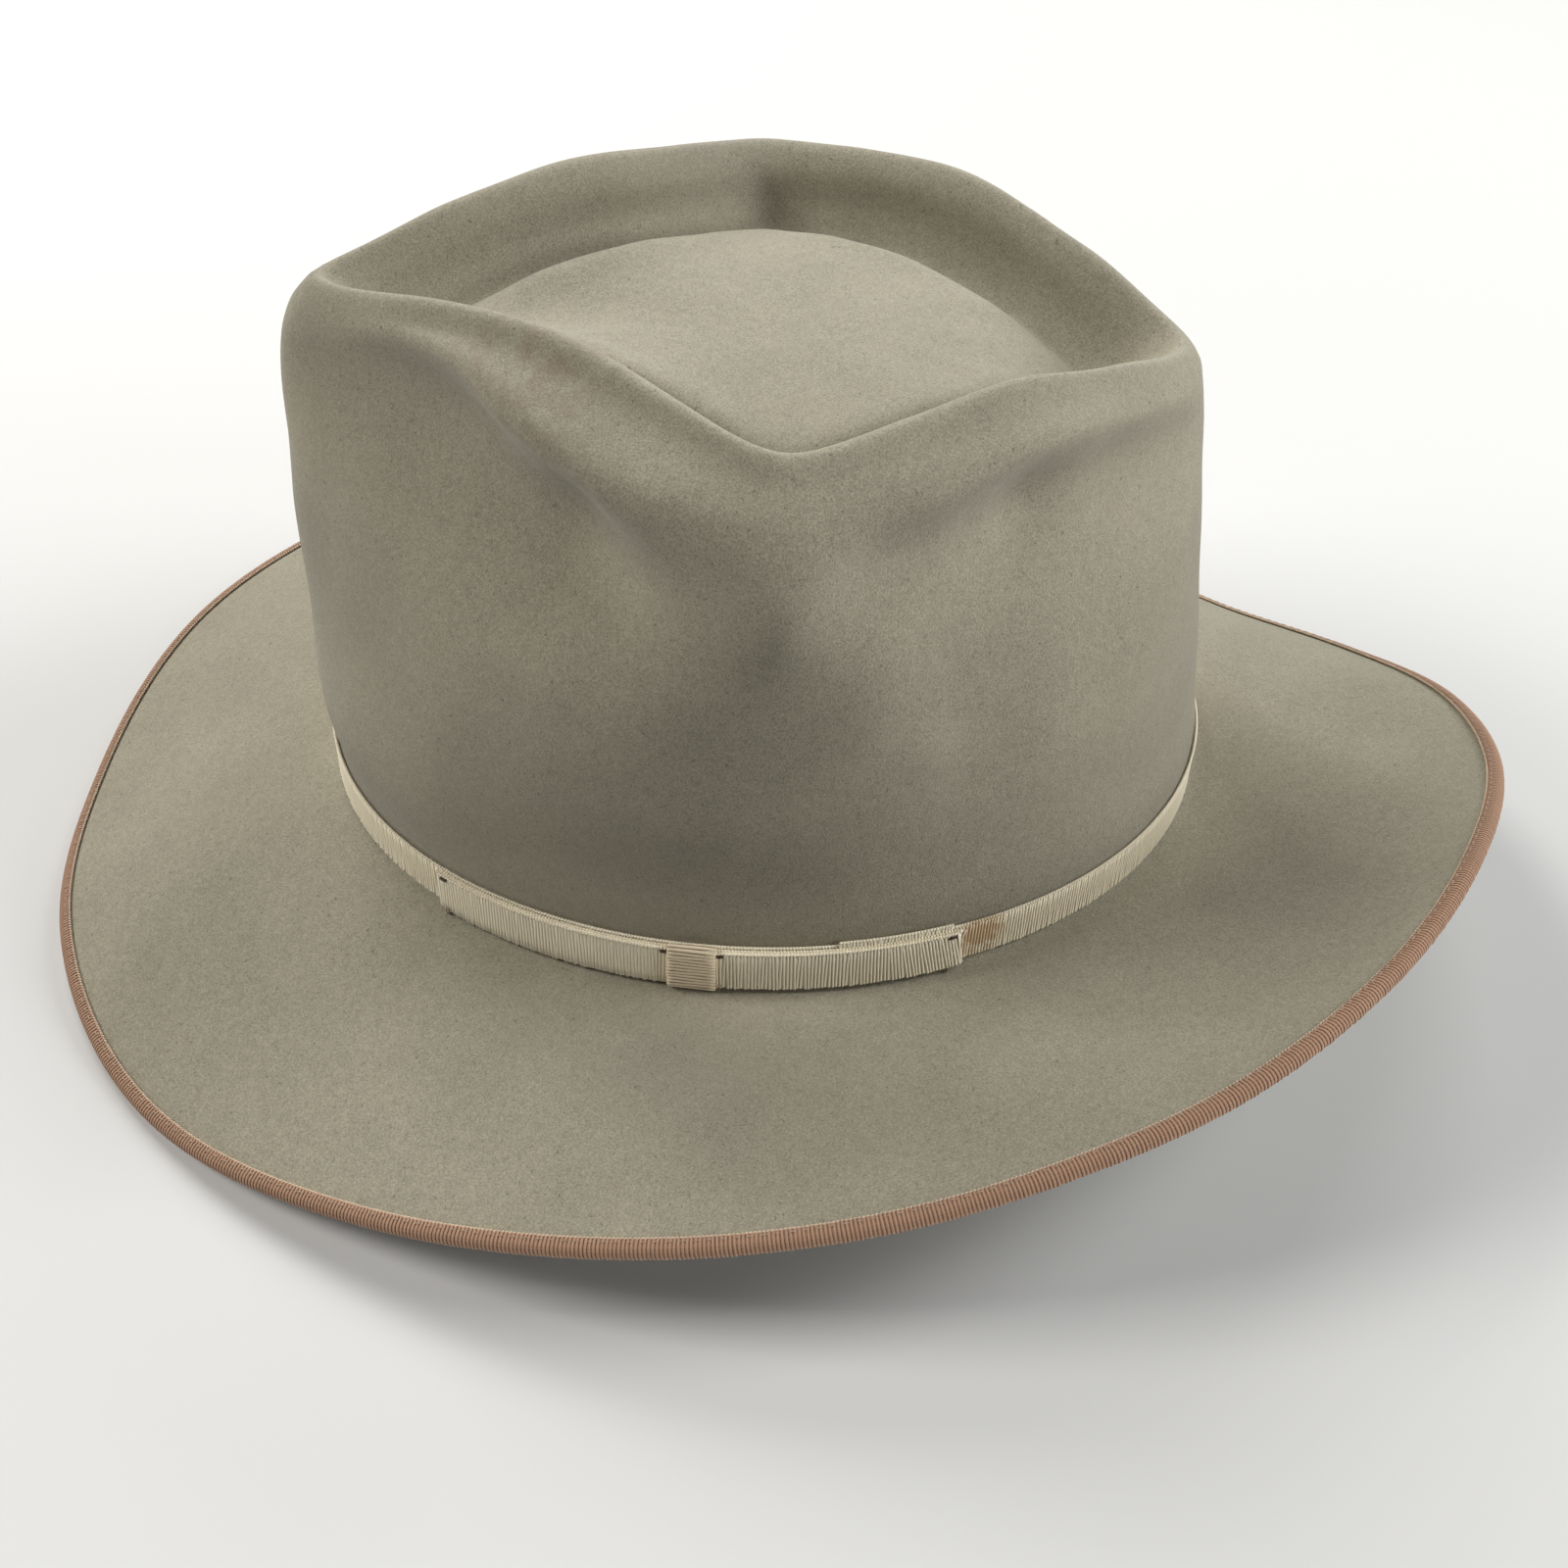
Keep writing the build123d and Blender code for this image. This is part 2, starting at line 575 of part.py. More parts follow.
# ---- sweatband bow: a small ribbon bow over the leather's joint at the back ----
bow_top = SWEAT_BOW_LEVEL + SWEAT_BOW_HEIGHT
leather_at_bow = wall_point(0, bow_top, leather_inset(bow_top) + LEATHER + SWEAT_BOW_GAP)
bow_back = leather_at_bow.Y - CROWN_HALF_LENGTH
bow_half = degrees_for(SWEAT_BOW_LENGTH / 2, 0)
knot_half = degrees_for(SWEAT_KNOT_LENGTH / 2, 0)
bow_wings = sector(-bow_half, bow_half, bow_back - SWEAT_BOW_THICKNESS, bow_back)
bow_knot = sector(-knot_half, knot_half, bow_back - SWEAT_KNOT_THICKNESS, bow_back)
with BuildPart() as sweatband_bow:
    with BuildSketch(Plane.XY.offset(SWEAT_BOW_LEVEL)):
        with BuildLine():
            add(bow_wings)
        make_face()
    extrude(amount=SWEAT_BOW_HEIGHT)
    with BuildSketch(Plane.XY.offset(SWEAT_BOW_LEVEL + (SWEAT_BOW_HEIGHT - SWEAT_KNOT_HEIGHT) / 2)):
        with BuildLine():
            add(bow_knot)
        make_face()
    extrude(amount=SWEAT_KNOT_HEIGHT)
sweatband_bow.part.label = "sweatband_bow"
export_step(sweatband_bow.part, "parts/sweatband_bow.step")

# ---- lining side: satin from behind the leather up to the tip ----
side_levels = [LINING_FOOT] + [level for level in leather_levels if level > LINING_FOOT]
side_back = [wall_ring(level, lining_inset(level)) for level in side_levels]
side_face = [wall_ring(level, lining_inset(level) + SATIN) for level in side_levels]
side_back.append(wall_ring(LINING_BEND_LEVEL, LINING_BEND_INSET))
side_face.append(wall_ring(LINING_BEND_LEVEL, LINING_BEND_INSET + SATIN))
side_back.append(oval_ring(TIP_HALF_WIDTH, TIP_HALF_LENGTH, LINING_TIP_LEVEL))
side_face.append(oval_ring(TIP_HALF_WIDTH - SATIN, TIP_HALF_LENGTH - SATIN, LINING_TIP_LEVEL))
side_solid = strip(side_back + side_face[::-1])
with BuildPart() as lining_side:
    add(side_solid)
lining_side.part.label = "lining_side"
export_step(lining_side.part, "parts/lining_side.step")

# ---- lining tip: the satin oval over the head ----
with BuildPart() as lining_tip:
    with BuildSketch(Plane.XY.offset(LINING_TIP_LEVEL + LINING_GAP)):
        Ellipse(TIP_HALF_WIDTH, TIP_HALF_LENGTH)
    extrude(amount=SATIN)
lining_tip.part.label = "lining_tip"
export_step(lining_tip.part, "parts/lining_tip.step")

# ---- lining piping: the cord in the seam between tip and side ----
piping_level = LINING_TIP_LEVEL - PIPING_RADIUS
piping_inset = SATIN + LINING_GAP + PIPING_RADIUS
piping_rings = []
for a, b in ROUND_SECTION:
    inset = piping_inset - a * PIPING_RADIUS
    height = piping_level + b * PIPING_RADIUS
    piping_rings.append(oval_ring(TIP_HALF_WIDTH - inset, TIP_HALF_LENGTH - inset, height))
piping_solid = strip(piping_rings)
with BuildPart() as lining_piping:
    add(piping_solid)
lining_piping.part.label = "lining_piping"
export_step(lining_piping.part, "parts/lining_piping.step")

# ---- tip protector: a clear oval sheet under the tip ----
with BuildPart() as tip_protector:
    with BuildSketch(Plane.XY.offset(LINING_TIP_LEVEL - PROTECTOR)):
        Ellipse(TIP_HALF_WIDTH - PROTECTOR_MARGIN, TIP_HALF_LENGTH - PROTECTOR_MARGIN)
    extrude(amount=PROTECTOR)
tip_protector.part.label = "tip_protector"
export_step(tip_protector.part, "parts/tip_protector.step")
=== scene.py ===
from math import cos, pi, radians, sin, sqrt

import bpy
import numpy as np
from bpy.props import FloatProperty, FloatVectorProperty, IntProperty, PointerProperty
from mathutils import Matrix, Vector, noise


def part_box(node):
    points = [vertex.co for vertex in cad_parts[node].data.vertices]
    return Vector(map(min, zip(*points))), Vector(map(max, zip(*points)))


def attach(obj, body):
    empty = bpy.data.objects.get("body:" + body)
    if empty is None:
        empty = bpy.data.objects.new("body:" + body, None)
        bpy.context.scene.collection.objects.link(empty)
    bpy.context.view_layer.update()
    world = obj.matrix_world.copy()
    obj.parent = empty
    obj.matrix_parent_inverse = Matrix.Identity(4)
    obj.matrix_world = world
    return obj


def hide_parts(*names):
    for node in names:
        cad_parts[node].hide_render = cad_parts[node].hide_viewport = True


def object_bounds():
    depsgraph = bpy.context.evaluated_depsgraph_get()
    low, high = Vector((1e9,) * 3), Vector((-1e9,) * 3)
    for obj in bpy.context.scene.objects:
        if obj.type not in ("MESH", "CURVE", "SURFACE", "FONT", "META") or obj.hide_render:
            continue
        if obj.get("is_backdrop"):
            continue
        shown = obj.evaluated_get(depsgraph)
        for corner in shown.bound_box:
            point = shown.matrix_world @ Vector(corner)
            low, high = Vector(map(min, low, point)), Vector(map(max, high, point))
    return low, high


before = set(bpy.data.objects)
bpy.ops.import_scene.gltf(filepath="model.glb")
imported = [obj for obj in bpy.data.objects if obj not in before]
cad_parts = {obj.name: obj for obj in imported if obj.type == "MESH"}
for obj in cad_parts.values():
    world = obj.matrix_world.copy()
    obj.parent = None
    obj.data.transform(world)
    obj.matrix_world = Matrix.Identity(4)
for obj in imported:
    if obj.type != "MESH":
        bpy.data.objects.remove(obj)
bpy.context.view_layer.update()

bl_info = {
    "name": "Felt hat",
    "version": (1, 0, 0),
    "blender": (4, 5, 0),
    "location": "3D View > Sidebar > Hat",
    "description": "Builds a creased felt hat with ribbon, leather and satin, round its packed frame",
    "category": "Object",
}

# ---------------------------------------------------------------------------
# Sizes, in metres. Angles go round the hat in degrees: 0 back, 90 left, 180 front, 270 right.
# ---------------------------------------------------------------------------
MM = 0.001

BAND_LOW, BAND_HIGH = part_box("hatband")
LEATHER_LOW, LEATHER_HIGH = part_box("sweatband")
TIP_LOW, TIP_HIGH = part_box("lining_tip")

RIBBON_THICK = 0.4 * MM
BAND_GAP = 0.3 * MM
RIBBON_GAP = 0.15 * MM
LOOP_GAP = 0.12 * MM
LAP_RAISE = 1.2 * MM
HALF_WIDTH = (BAND_HIGH.x - BAND_LOW.x) / 2 - BAND_GAP - RIBBON_THICK
HALF_LENGTH = (BAND_HIGH.y - BAND_LOW.y) / 2 - BAND_GAP - RIBBON_THICK
BAND_BASE = BAND_LOW.z
BAND_WIDTH = BAND_HIGH.z - BAND_LOW.z - LAP_RAISE
CROWN_HEIGHT = 121 * MM
FELT_THICK = 2.2 * MM
BREAK_RADIUS = 1.8 * MM

CREST_HALF_WIDTH = 68 * MM
CREST_FRONT = 92 * MM
CREST_REAR = 84 * MM
CREST_FRONT_FULLNESS = 1.0
CREST_REAR_FULLNESS = 1.25
CREST_ROUND = 4.6 * MM
CREST_CORNER = 0.06
CREST_DIP = [
    (0, 18.5), (22, 10), (45, 3), (70, 3.5), (90, 5.5), (110, 2), (140, -2), (162, 0.5), (180, 5.5),
]
DOME_HEIGHT = 106.5 * MM
DOME_EDGE_DROP = [(0, 7), (45, 13), (90, 12), (140, 13), (180, 9)]
GROOVE_DROP = [(0, 12), (45, 17.5), (90, 16), (140, 17.5), (180, 13)]
ROLL_OUT = [
    (0, 5.5), (20, 8), (45, 11), (65, 10.5), (80, 10), (92, 11), (105, 15.5), (118, 18), (135, 15.5),
    (150, 10), (165, 6.5), (180, 7.5),
]
ROLL_DROP = [
    (0, 7), (20, 7), (45, 7.5), (65, 8.5), (80, 8.5), (92, 9), (105, 11), (118, 12), (135, 9.5), (150, 6),
    (165, 5.5), (180, 9),
]
VALLEY_OUT = [
    (0, 7), (20, 8.2), (45, 8.6), (65, 9), (80, 11.5), (92, 18), (105, 17.5), (118, 14), (135, 11),
    (150, 7.6), (165, 7.2), (180, 9.3),
]
VALLEY_DROP = [
    (0, 15), (20, 15), (45, 19), (65, 19), (80, 19), (92, 22), (105, 27), (118, 28), (135, 21.5), (150, 14),
    (165, 12), (180, 15),
]
SLOPE_OUT = [
    (0, 0.92), (20, 0.905), (45, 0.865), (65, 0.88), (80, 0.955), (92, 0.995), (105, 0.985), (118, 0.955),
    (135, 0.91), (150, 0.905), (165, 0.945), (180, 1.015),
]
SLOPE_LEVEL = [
    (0, 0.59), (20, 0.58), (45, 0.6), (65, 0.63), (80, 0.65), (92, 0.62), (105, 0.58), (118, 0.56),
    (135, 0.55), (150, 0.58), (165, 0.6), (180, 0.65),
]
SHOULDER_OUT = [
    (0, 0.955), (45, 0.935), (65, 0.945), (80, 0.985), (95, 1), (118, 0.995), (135, 0.98), (150, 0.965),
    (165, 0.985), (180, 1.02),
]
SHOULDER_LEVEL = 0.385
WALL_OUT = [(0, 0.985), (55, 0.975), (90, 0.985), (180, 1.02)]
WALL_LEVEL = 0.19

# Hand-pressed places in the crown's side: middle, reach and rise off the smooth shape.
DENTS = (
    ((0.058, -0.039, 0.095), 12 * MM, -3.2 * MM),
    ((0.055, 0.044, 0.097), 9 * MM, -2.4 * MM),
    ((0.080, 0.029, 0.056), 6 * MM, 1.1 * MM),
)

BRIM_WIDTH = 65 * MM
BRIM_EXTRA = [
    (0, 3), (25, 4.5), (50, 4), (75, 0), (100, 0), (125, 3), (150, 8.5), (165, 6), (180, 2.5), (205, 2),
    (225, 1.5), (270, -1), (312, -5), (335, -9),
]
BRIM_EDGE = [
    (0, 6), (20, 23.5), (38, 24.5), (62, 15.5), (78, 7), (94, 0.3), (114, -8), (130, -16), (147, -22),
    (165, -20), (180, -20.5), (202, -14.5), (217, -13), (250, -9), (280, -8), (308, -15), (330, -20),
    (348, -8),
]
BRIM_CURL = [(0, 2.0), (45, 1.7), (90, 1.3), (180, 1.25), (270, 1.2), (330, 1.2)]
BRIM_STATIONS = (0.10, 0.25, 0.45, 0.65, 0.82, 0.92, 0.97, 1.0)

KEEPER_ANGLE = 101.9
KEEPER_WIDTH = 10 * MM
FRONT_LOOP_ANGLE = 138.0
REAR_LOOP_ANGLE = 66.3
LAP_ANGLE = 66.5
LAP_END_ANGLE = 82.0
BINDING_WIDTH = 2.4 * MM
BINDING_STITCH_PITCH = 2.5 * MM
BINDING_STITCH_SETBACK = 0.8 * MM
BAND_RIB_HEIGHT = 0.24 * MM
BINDING_RIB_HEIGHT = 0.22 * MM
KEEPER_RIB_PITCH = 0.92 * MM
RIB_UNEVENNESS = 0.04
STAIN_ANGLE = 62.0
STAIN_LEVEL = 6 * MM
STAIN_REACH = 8 * MM
BOW_DROP = 0.35 * MM

LEATHER = 0.9 * MM
LEATHER_LEAN = 1.2 * MM
SWEAT_GAP = 0.3 * MM
TAPE = 0.3 * MM
TAPE_LEG_STEP = 2.0 * MM
SEAM_LEVEL = 2.0 * MM
SATIN = 0.4 * MM
LINING_FOOT = 8.0 * MM
LINING_LEAN = 0.8 * MM
LINING_BEND_LEVEL = 60.0 * MM
LINING_BEND_INSET = 7.0 * MM
LINING_GAP = 0.2 * MM
LINING_GATHERS = 54

TAPE_BACK_IN = FELT_THICK + SWEAT_GAP
LEATHER_IN = TAPE_BACK_IN + TAPE + SWEAT_GAP
TAPE_FRONT_OUT = LEATHER_IN + LEATHER + SWEAT_GAP + TAPE

BAND_OUT = BAND_GAP + RIBBON_THICK
KEEPER_BACK_IN = BAND_OUT + RIBBON_GAP
BOW_IN = KEEPER_BACK_IN + RIBBON_THICK + RIBBON_GAP
BOW_OUT = BOW_IN + 2 * RIBBON_THICK + LOOP_GAP


# ---------------------------------------------------------------------------
# Settings a user would change
# ---------------------------------------------------------------------------
class FeltSettings(bpy.types.PropertyGroup):
    """The felt of the crown and brim"""

    around: IntProperty(name="Facets round", description="Faces round the felt", default=300, min=48)
    colour: FloatVectorProperty(
        name="Felt colour", description="Middle colour of the felt", subtype="COLOR", size=3,
        default=(0.292, 0.268, 0.197), min=0, max=1,
    )
    nap_depth: FloatProperty(
        name="Nap depth", description="Height of the short nap", default=0.25 * MM, unit="LENGTH",
    )


class RibbonSettings(bpy.types.PropertyGroup):
    """The band, bow and binding ribbons"""

    rib_pitch: FloatProperty(
        name="Rib pitch", description="Distance between ribs of the band", default=0.72 * MM, unit="LENGTH",
    )
    binding_pitch: FloatProperty(
        name="Binding pitch", description="Distance between ribs of the binding",
        default=0.80 * MM, unit="LENGTH",
    )
    band_colour: FloatVectorProperty(
        name="Band colour", description="Cream of the band and bow", subtype="COLOR", size=3,
        default=(0.92, 0.84, 0.65), min=0, max=1,
    )
    binding_colour: FloatVectorProperty(
        name="Binding colour", description="Pinkish tan of the brim's binding", subtype="COLOR", size=3,
        default=(0.44, 0.265, 0.168), min=0, max=1,
    )
    seed: IntProperty(name="Seed", description="Seed of the small irregularities", default=7)


class InsideSettings(bpy.types.PropertyGroup):
    """The sweatband and the lining"""

    leather_colour: FloatVectorProperty(
        name="Leather colour", description="Brown of the sweatband", subtype="COLOR", size=3,
        default=(0.19, 0.085, 0.035), min=0, max=1,
    )
    satin_colour: FloatVectorProperty(
        name="Satin colour", description="Champagne of the lining", subtype="COLOR", size=3,
        default=(0.50, 0.42, 0.29), min=0, max=1,
    )
    stitch_pitch: FloatProperty(
        name="Stitch pitch", description="Distance between stitches", default=2.6 * MM, unit="LENGTH",
    )


# ---------------------------------------------------------------------------
# The hat's shape
# ---------------------------------------------------------------------------
def around(knots, angles):
    """Smooth values at the angles, through knots that go once round the hat."""
    places = np.array([k[0] for k in knots], float)
    values = np.array([k[1] for k in knots], float)
    places = np.concatenate([[places[-1] - 360], places, [places[0] + 360]])
    values = np.concatenate([[values[-1]], values, [values[0]]])
    steps = np.diff(places)
    rises = np.diff(values) / steps
    slopes = np.empty(len(places))
    slopes[1:-1] = (rises[:-1] * steps[1:] + rises[1:] * steps[:-1]) / (steps[:-1] + steps[1:])
    slopes[0], slopes[-1] = slopes[-2], slopes[1]
    turned = np.mod(np.asarray(angles, float) - places[0], 360) + places[0]
    i = np.clip(np.searchsorted(places, turned, side="right") - 1, 0, len(steps) - 1)
    t = (turned - places[i]) / steps[i]
    return hermite(values[i], values[i + 1], slopes[i], slopes[i + 1], steps[i], t)


def hermite(start, end, slope_start, slope_end, span, t):
    """Cubic between two values, with the slopes at both ends."""
    value = start * (2 * t**3 - 3 * t**2 + 1) + slope_start * span * (t**3 - 2 * t**2 + t)
    return value + end * (3 * t**2 - 2 * t**3) + slope_end * span * (t**3 - t**2)


def both_sides(knots, angles):
    """Smooth values for a shape that is the same on the left and the right."""
    mirrored = [(360 - place, value) for place, value in reversed(knots) if 0 < place < 180]
    return around(knots + mirrored, angles)


def oval_radius(angles):
    """Distance from the middle to the crown's base oval."""
    return 1 / np.hypot(np.sin(np.radians(angles)) / HALF_WIDTH, np.cos(np.radians(angles)) / HALF_LENGTH)


def softened(share):
    """Size of a share from -1 to 1, with the sharp turn at nought rounded off."""
    return (np.sqrt(share**2 + CREST_CORNER**2) - CREST_CORNER) / (sqrt(1 + CREST_CORNER**2) - CREST_CORNER)


def crest_radius(angles):
    """Distance from the middle to the crest, a diamond with soft corners."""
    across = softened(np.sin(np.radians(angles)))
    along = softened(np.cos(np.radians(angles)))
    rearward = 1 / (1 + np.exp(-6 * np.cos(np.radians(angles))))
    fullness = CREST_FRONT_FULLNESS + (CREST_REAR_FULLNESS - CREST_FRONT_FULLNESS) * rearward
    reach = CREST_FRONT + (CREST_REAR - CREST_FRONT) * rearward
    return ((across / CREST_HALF_WIDTH) ** fullness + (along / reach) ** fullness) ** (-1 / fullness)


def polar(angles, radius, height):
    """Points at the angles round the hat."""
    turn = np.radians(angles)
    return np.stack([radius * np.sin(turn), radius * np.cos(turn), height + 0 * turn], -1)


def outward(angles):
    """Level directions square to the base oval."""
    base = polar(angles, oval_radius(angles), 0)
    square = base / np.array([HALF_WIDTH**2, HALF_LENGTH**2, 1])
    return square / np.linalg.norm(square, axis=-1, keepdims=True)


def off_wall(angles, stand, height):
    """Points at a distance outside the base oval, at a height."""
    return polar(angles, oval_radius(angles), height) + outward(angles) * np.reshape(stand, (-1, 1))


def felt_stations(angles):
    """Rings of points down the felt's outside, from the middle of the dome to the brim's edge."""
    base, crest = oval_radius(angles), crest_radius(angles)
    top = CROWN_HEIGHT - both_sides(CREST_DIP, angles) * MM
    edge = top - both_sides(DOME_EDGE_DROP, angles) * MM
    groove = both_sides(GROOVE_DROP, angles) * MM
    rings = [
        (0 * crest, DOME_HEIGHT),
        (0.30 * crest, DOME_HEIGHT + (edge - DOME_HEIGHT) * 0.10),
        (0.55 * crest, DOME_HEIGHT + (edge - DOME_HEIGHT) * 0.55),
        (0.69 * crest, edge),
        (0.79 * crest, top - groove),
        (0.88 * crest, top - 0.74 * groove),
        (crest - CREST_ROUND, top - 0.7 * CREST_ROUND),
        (crest, top),
        (crest + CREST_ROUND, top - 0.8 * CREST_ROUND),
        (crest + both_sides(ROLL_OUT, angles) * MM, top - both_sides(ROLL_DROP, angles) * MM),
        (crest + both_sides(VALLEY_OUT, angles) * MM, top - both_sides(VALLEY_DROP, angles) * MM),
        (base * both_sides(SLOPE_OUT, angles), CROWN_HEIGHT * both_sides(SLOPE_LEVEL, angles)),
        (base * both_sides(SHOULDER_OUT, angles), CROWN_HEIGHT * SHOULDER_LEVEL),
        (base * both_sides(WALL_OUT, angles), CROWN_HEIGHT * WALL_LEVEL),
        (base, BAND_BASE + BAND_WIDTH + LAP_RAISE),
        (base, BAND_BASE + BAND_WIDTH / 2),
    ]
    points = [polar(angles, radius, height) for radius, height in rings]
    foot, out, up = polar(angles, base, 0), outward(angles), np.array([0, 0, 1])
    mid = BREAK_RADIUS * (1 - sqrt(0.5))
    points += [foot + up * BREAK_RADIUS, foot + out * mid + up * mid, foot + out * BREAK_RADIUS]
    rise = (around(BRIM_EDGE, angles) * MM)[:, None]
    width = np.sqrt((BRIM_WIDTH + around(BRIM_EXTRA, angles)[:, None] * MM) ** 2 - rise**2)
    curl = around(BRIM_CURL, angles)[:, None]
    points += [foot + out * width * share + up * rise * share**curl for share in BRIM_STATIONS]
    return np.array(points)


# Steps between one ring and the next, finer where the felt turns sharply.
FELT_STEPS = (7, 6, 5, 7, 6, 6, 5, 5, 6, 6, 11, 10, 8, 4, 3, 3, 3, 4, 5, 8, 9, 8, 5, 4, 3)
WALL_TOP_RING = sum(FELT_STEPS[:11])
WALL_FOOT_RING = sum(FELT_STEPS[:16])


def smooth_rings(rings, steps):
    """More rings along the smooth lines through the given ones."""
    lengths = np.linalg.norm(np.diff(rings, axis=0), axis=-1, keepdims=True)
    rises = np.diff(rings, axis=0) / lengths
    slopes = np.empty_like(rings)
    slopes[1:-1] = (rises[:-1] * lengths[1:] + rises[1:] * lengths[:-1]) / (lengths[:-1] + lengths[1:])
    slopes[0], slopes[-1] = rises[0] * np.array([1, 1, 0]), rises[-1]
    fine = []
    for i, count in enumerate(steps):
        for t in np.arange(count) / count:
            fine.append(hermite(rings[i], rings[i + 1], slopes[i], slopes[i + 1], lengths[i], t))
    return np.array(fine + [rings[-1]])


def ring_normals(rings):
    """Outward directions of a surface given as rings of points."""
    across = np.roll(rings, -1, 1) - np.roll(rings, 1, 1)
    down = np.gradient(rings, axis=0)
    normals = np.cross(across, down)
    return normals / (np.linalg.norm(normals, axis=-1, keepdims=True) + 1e-12)


def felt_skin(count):
    """Rings of points over the felt's outside, with the small bumps that a hand-creased crown has."""
    angles = np.arange(count) * 360 / count
    rings = smooth_rings(felt_stations(angles), FELT_STEPS)
    rings[0] = (0, 0, DOME_HEIGHT)
    normals = ring_normals(rings)
    normals[0] = (0, 0, 1)
    flat = rings.reshape(-1, 3)
    waves = np.array([uneven(point) for point in flat]).reshape(rings.shape[:2])
    from_edge = np.linalg.norm(rings - rings[-1], axis=-1)
    free = smooth_step(rings[..., 2], 14 * MM, 24 * MM)
    free += smooth_step(from_edge, 9 * MM, 22 * MM) * outside_break(rings)
    return rings + normals * (waves * np.clip(free, 0, 1))[..., None]


def uneven(point):
    """Height of the felt's slow waves and of the small dents at a point."""
    place = Vector(point)
    height = noise.noise(place * 22) * 0.9 * MM + noise.noise(place * 60) * 0.28 * MM
    for centre, reach, rise in DENTS:
        height += rise * np.exp(-((place - Vector(centre)).length / reach) ** 2)
    return height


def smooth_step(value, low, high):
    """Nought below low, one above high, and smooth between."""
    share = np.clip((value - low) / (high - low), 0, 1)
    return share * share * (3 - 2 * share)


def outside_break(rings):
    """One on the brim, away from the break, and nought on the wall."""
    level = np.hypot(rings[..., 0] / HALF_WIDTH, rings[..., 1] / HALF_LENGTH)
    return smooth_step(level, 1.05, 1.18)


# ---------------------------------------------------------------------------
# Meshes
# ---------------------------------------------------------------------------
def new_object(name, points, faces, material=None):
    """Smooth-shaded mesh object from points and faces."""
    mesh = bpy.data.meshes.new(name)
    mesh.from_pydata([tuple(point) for point in points], [], faces)
    mesh.shade_smooth()
    if material:
        mesh.materials.append(material)
    thing = bpy.data.objects.new(name, mesh)
    bpy.context.scene.collection.objects.link(thing)
    return thing


def band_faces(rows, columns, closed_rows=False, closed_columns=True):
    """Faces of a grid of points, row after row."""
    faces = []
    for i in range(rows if closed_rows else rows - 1):
        for j in range(columns if closed_columns else columns - 1):
            near, far = i * columns, (i + 1) % rows * columns
            faces.append((near + j, near + (j + 1) % columns, far + (j + 1) % columns, far + j))
    return faces


def turned_out(points, faces):
    """The faces of a closed mesh, reversed if they point inwards."""
    corners = np.array([[points[v] for v in face[:3]] for face in faces])
    volume = np.einsum("ij,ij->i", corners[:, 0], np.cross(corners[:, 1], corners[:, 2])).sum()
    return [face[::-1] for face in faces] if volume < 0 else faces


def strap(name, rings, material, closed=True):
    """Closed solid swept along a path. Each ring is one corner of its section, all along the path."""
    rings = np.array(rings)
    corners, places = rings.shape[:2]
    faces = band_faces(corners, places, closed_rows=True, closed_columns=closed)
    if not closed:
        faces.append(tuple(i * places for i in range(corners)))
        faces.append(tuple(i * places + places - 1 for i in reversed(range(corners))))
    points = rings.reshape(-1, 3)
    middle = points.mean(0)
    return new_object(name, points, turned_out(points - middle, faces), material)


def shell_with_poles(name, rings, material):
    """Closed solid from rings round the hat, whose first and last rings are single points."""
    columns = rings.shape[1]
    inner = rings[1:-1].reshape(-1, 3)
    points = np.concatenate([rings[:1, 0], inner, rings[-1:, 0]])
    faces = [tuple(v + 1 for v in face) for face in band_faces(len(rings) - 2, columns)]
    last = 1 + (len(rings) - 3) * columns
    for j in range(columns):
        after = (j + 1) % columns
        faces.append((0, 1 + after, 1 + j))
        faces.append((len(points) - 1, last + j, last + after))
    return new_object(name, points, faces, material)


def store(thing, name, kind, values):
    """Write one attribute on a mesh's points."""
    attribute = thing.data.attributes.new(name, kind, "POINT")
    field = "vector" if kind == "FLOAT_VECTOR" else "value"
    attribute.data.foreach_set(field, np.ravel(values).astype(np.float32))


def finished(thing, slot, *nodes):
    """Hang a finished piece on the hat's one body, in place of the frame's plain nodes."""
    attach(thing, "root")
    if nodes:
        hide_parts(*nodes)
    return thing


def finished_group(pieces, slot, node):
    """Hang pieces that take one plain node's place together."""
    finished(pieces[0], slot, node)
    for piece in pieces[1:]:
        finished(piece, slot)


# ---------------------------------------------------------------------------
# Node graphs
# ---------------------------------------------------------------------------
class Socket:
    """A node's output, so that node maths reads like arithmetic."""

    def __init__(self, graph, output):
        self.graph = graph
        self.output = output

    def __add__(self, other):
        return self.graph.maths("ADD", self, other)

    def __sub__(self, other):
        return self.graph.maths("SUBTRACT", self, other)

    def __rsub__(self, other):
        return self.graph.maths("SUBTRACT", other, self)

    def __mul__(self, other):
        return self.graph.maths("MULTIPLY", self, other)

    def __truediv__(self, other):
        return self.graph.maths("DIVIDE", self, other)

    def __pow__(self, other):
        return self.graph.maths("POWER", self, other)

    __radd__ = __add__
    __rmul__ = __mul__


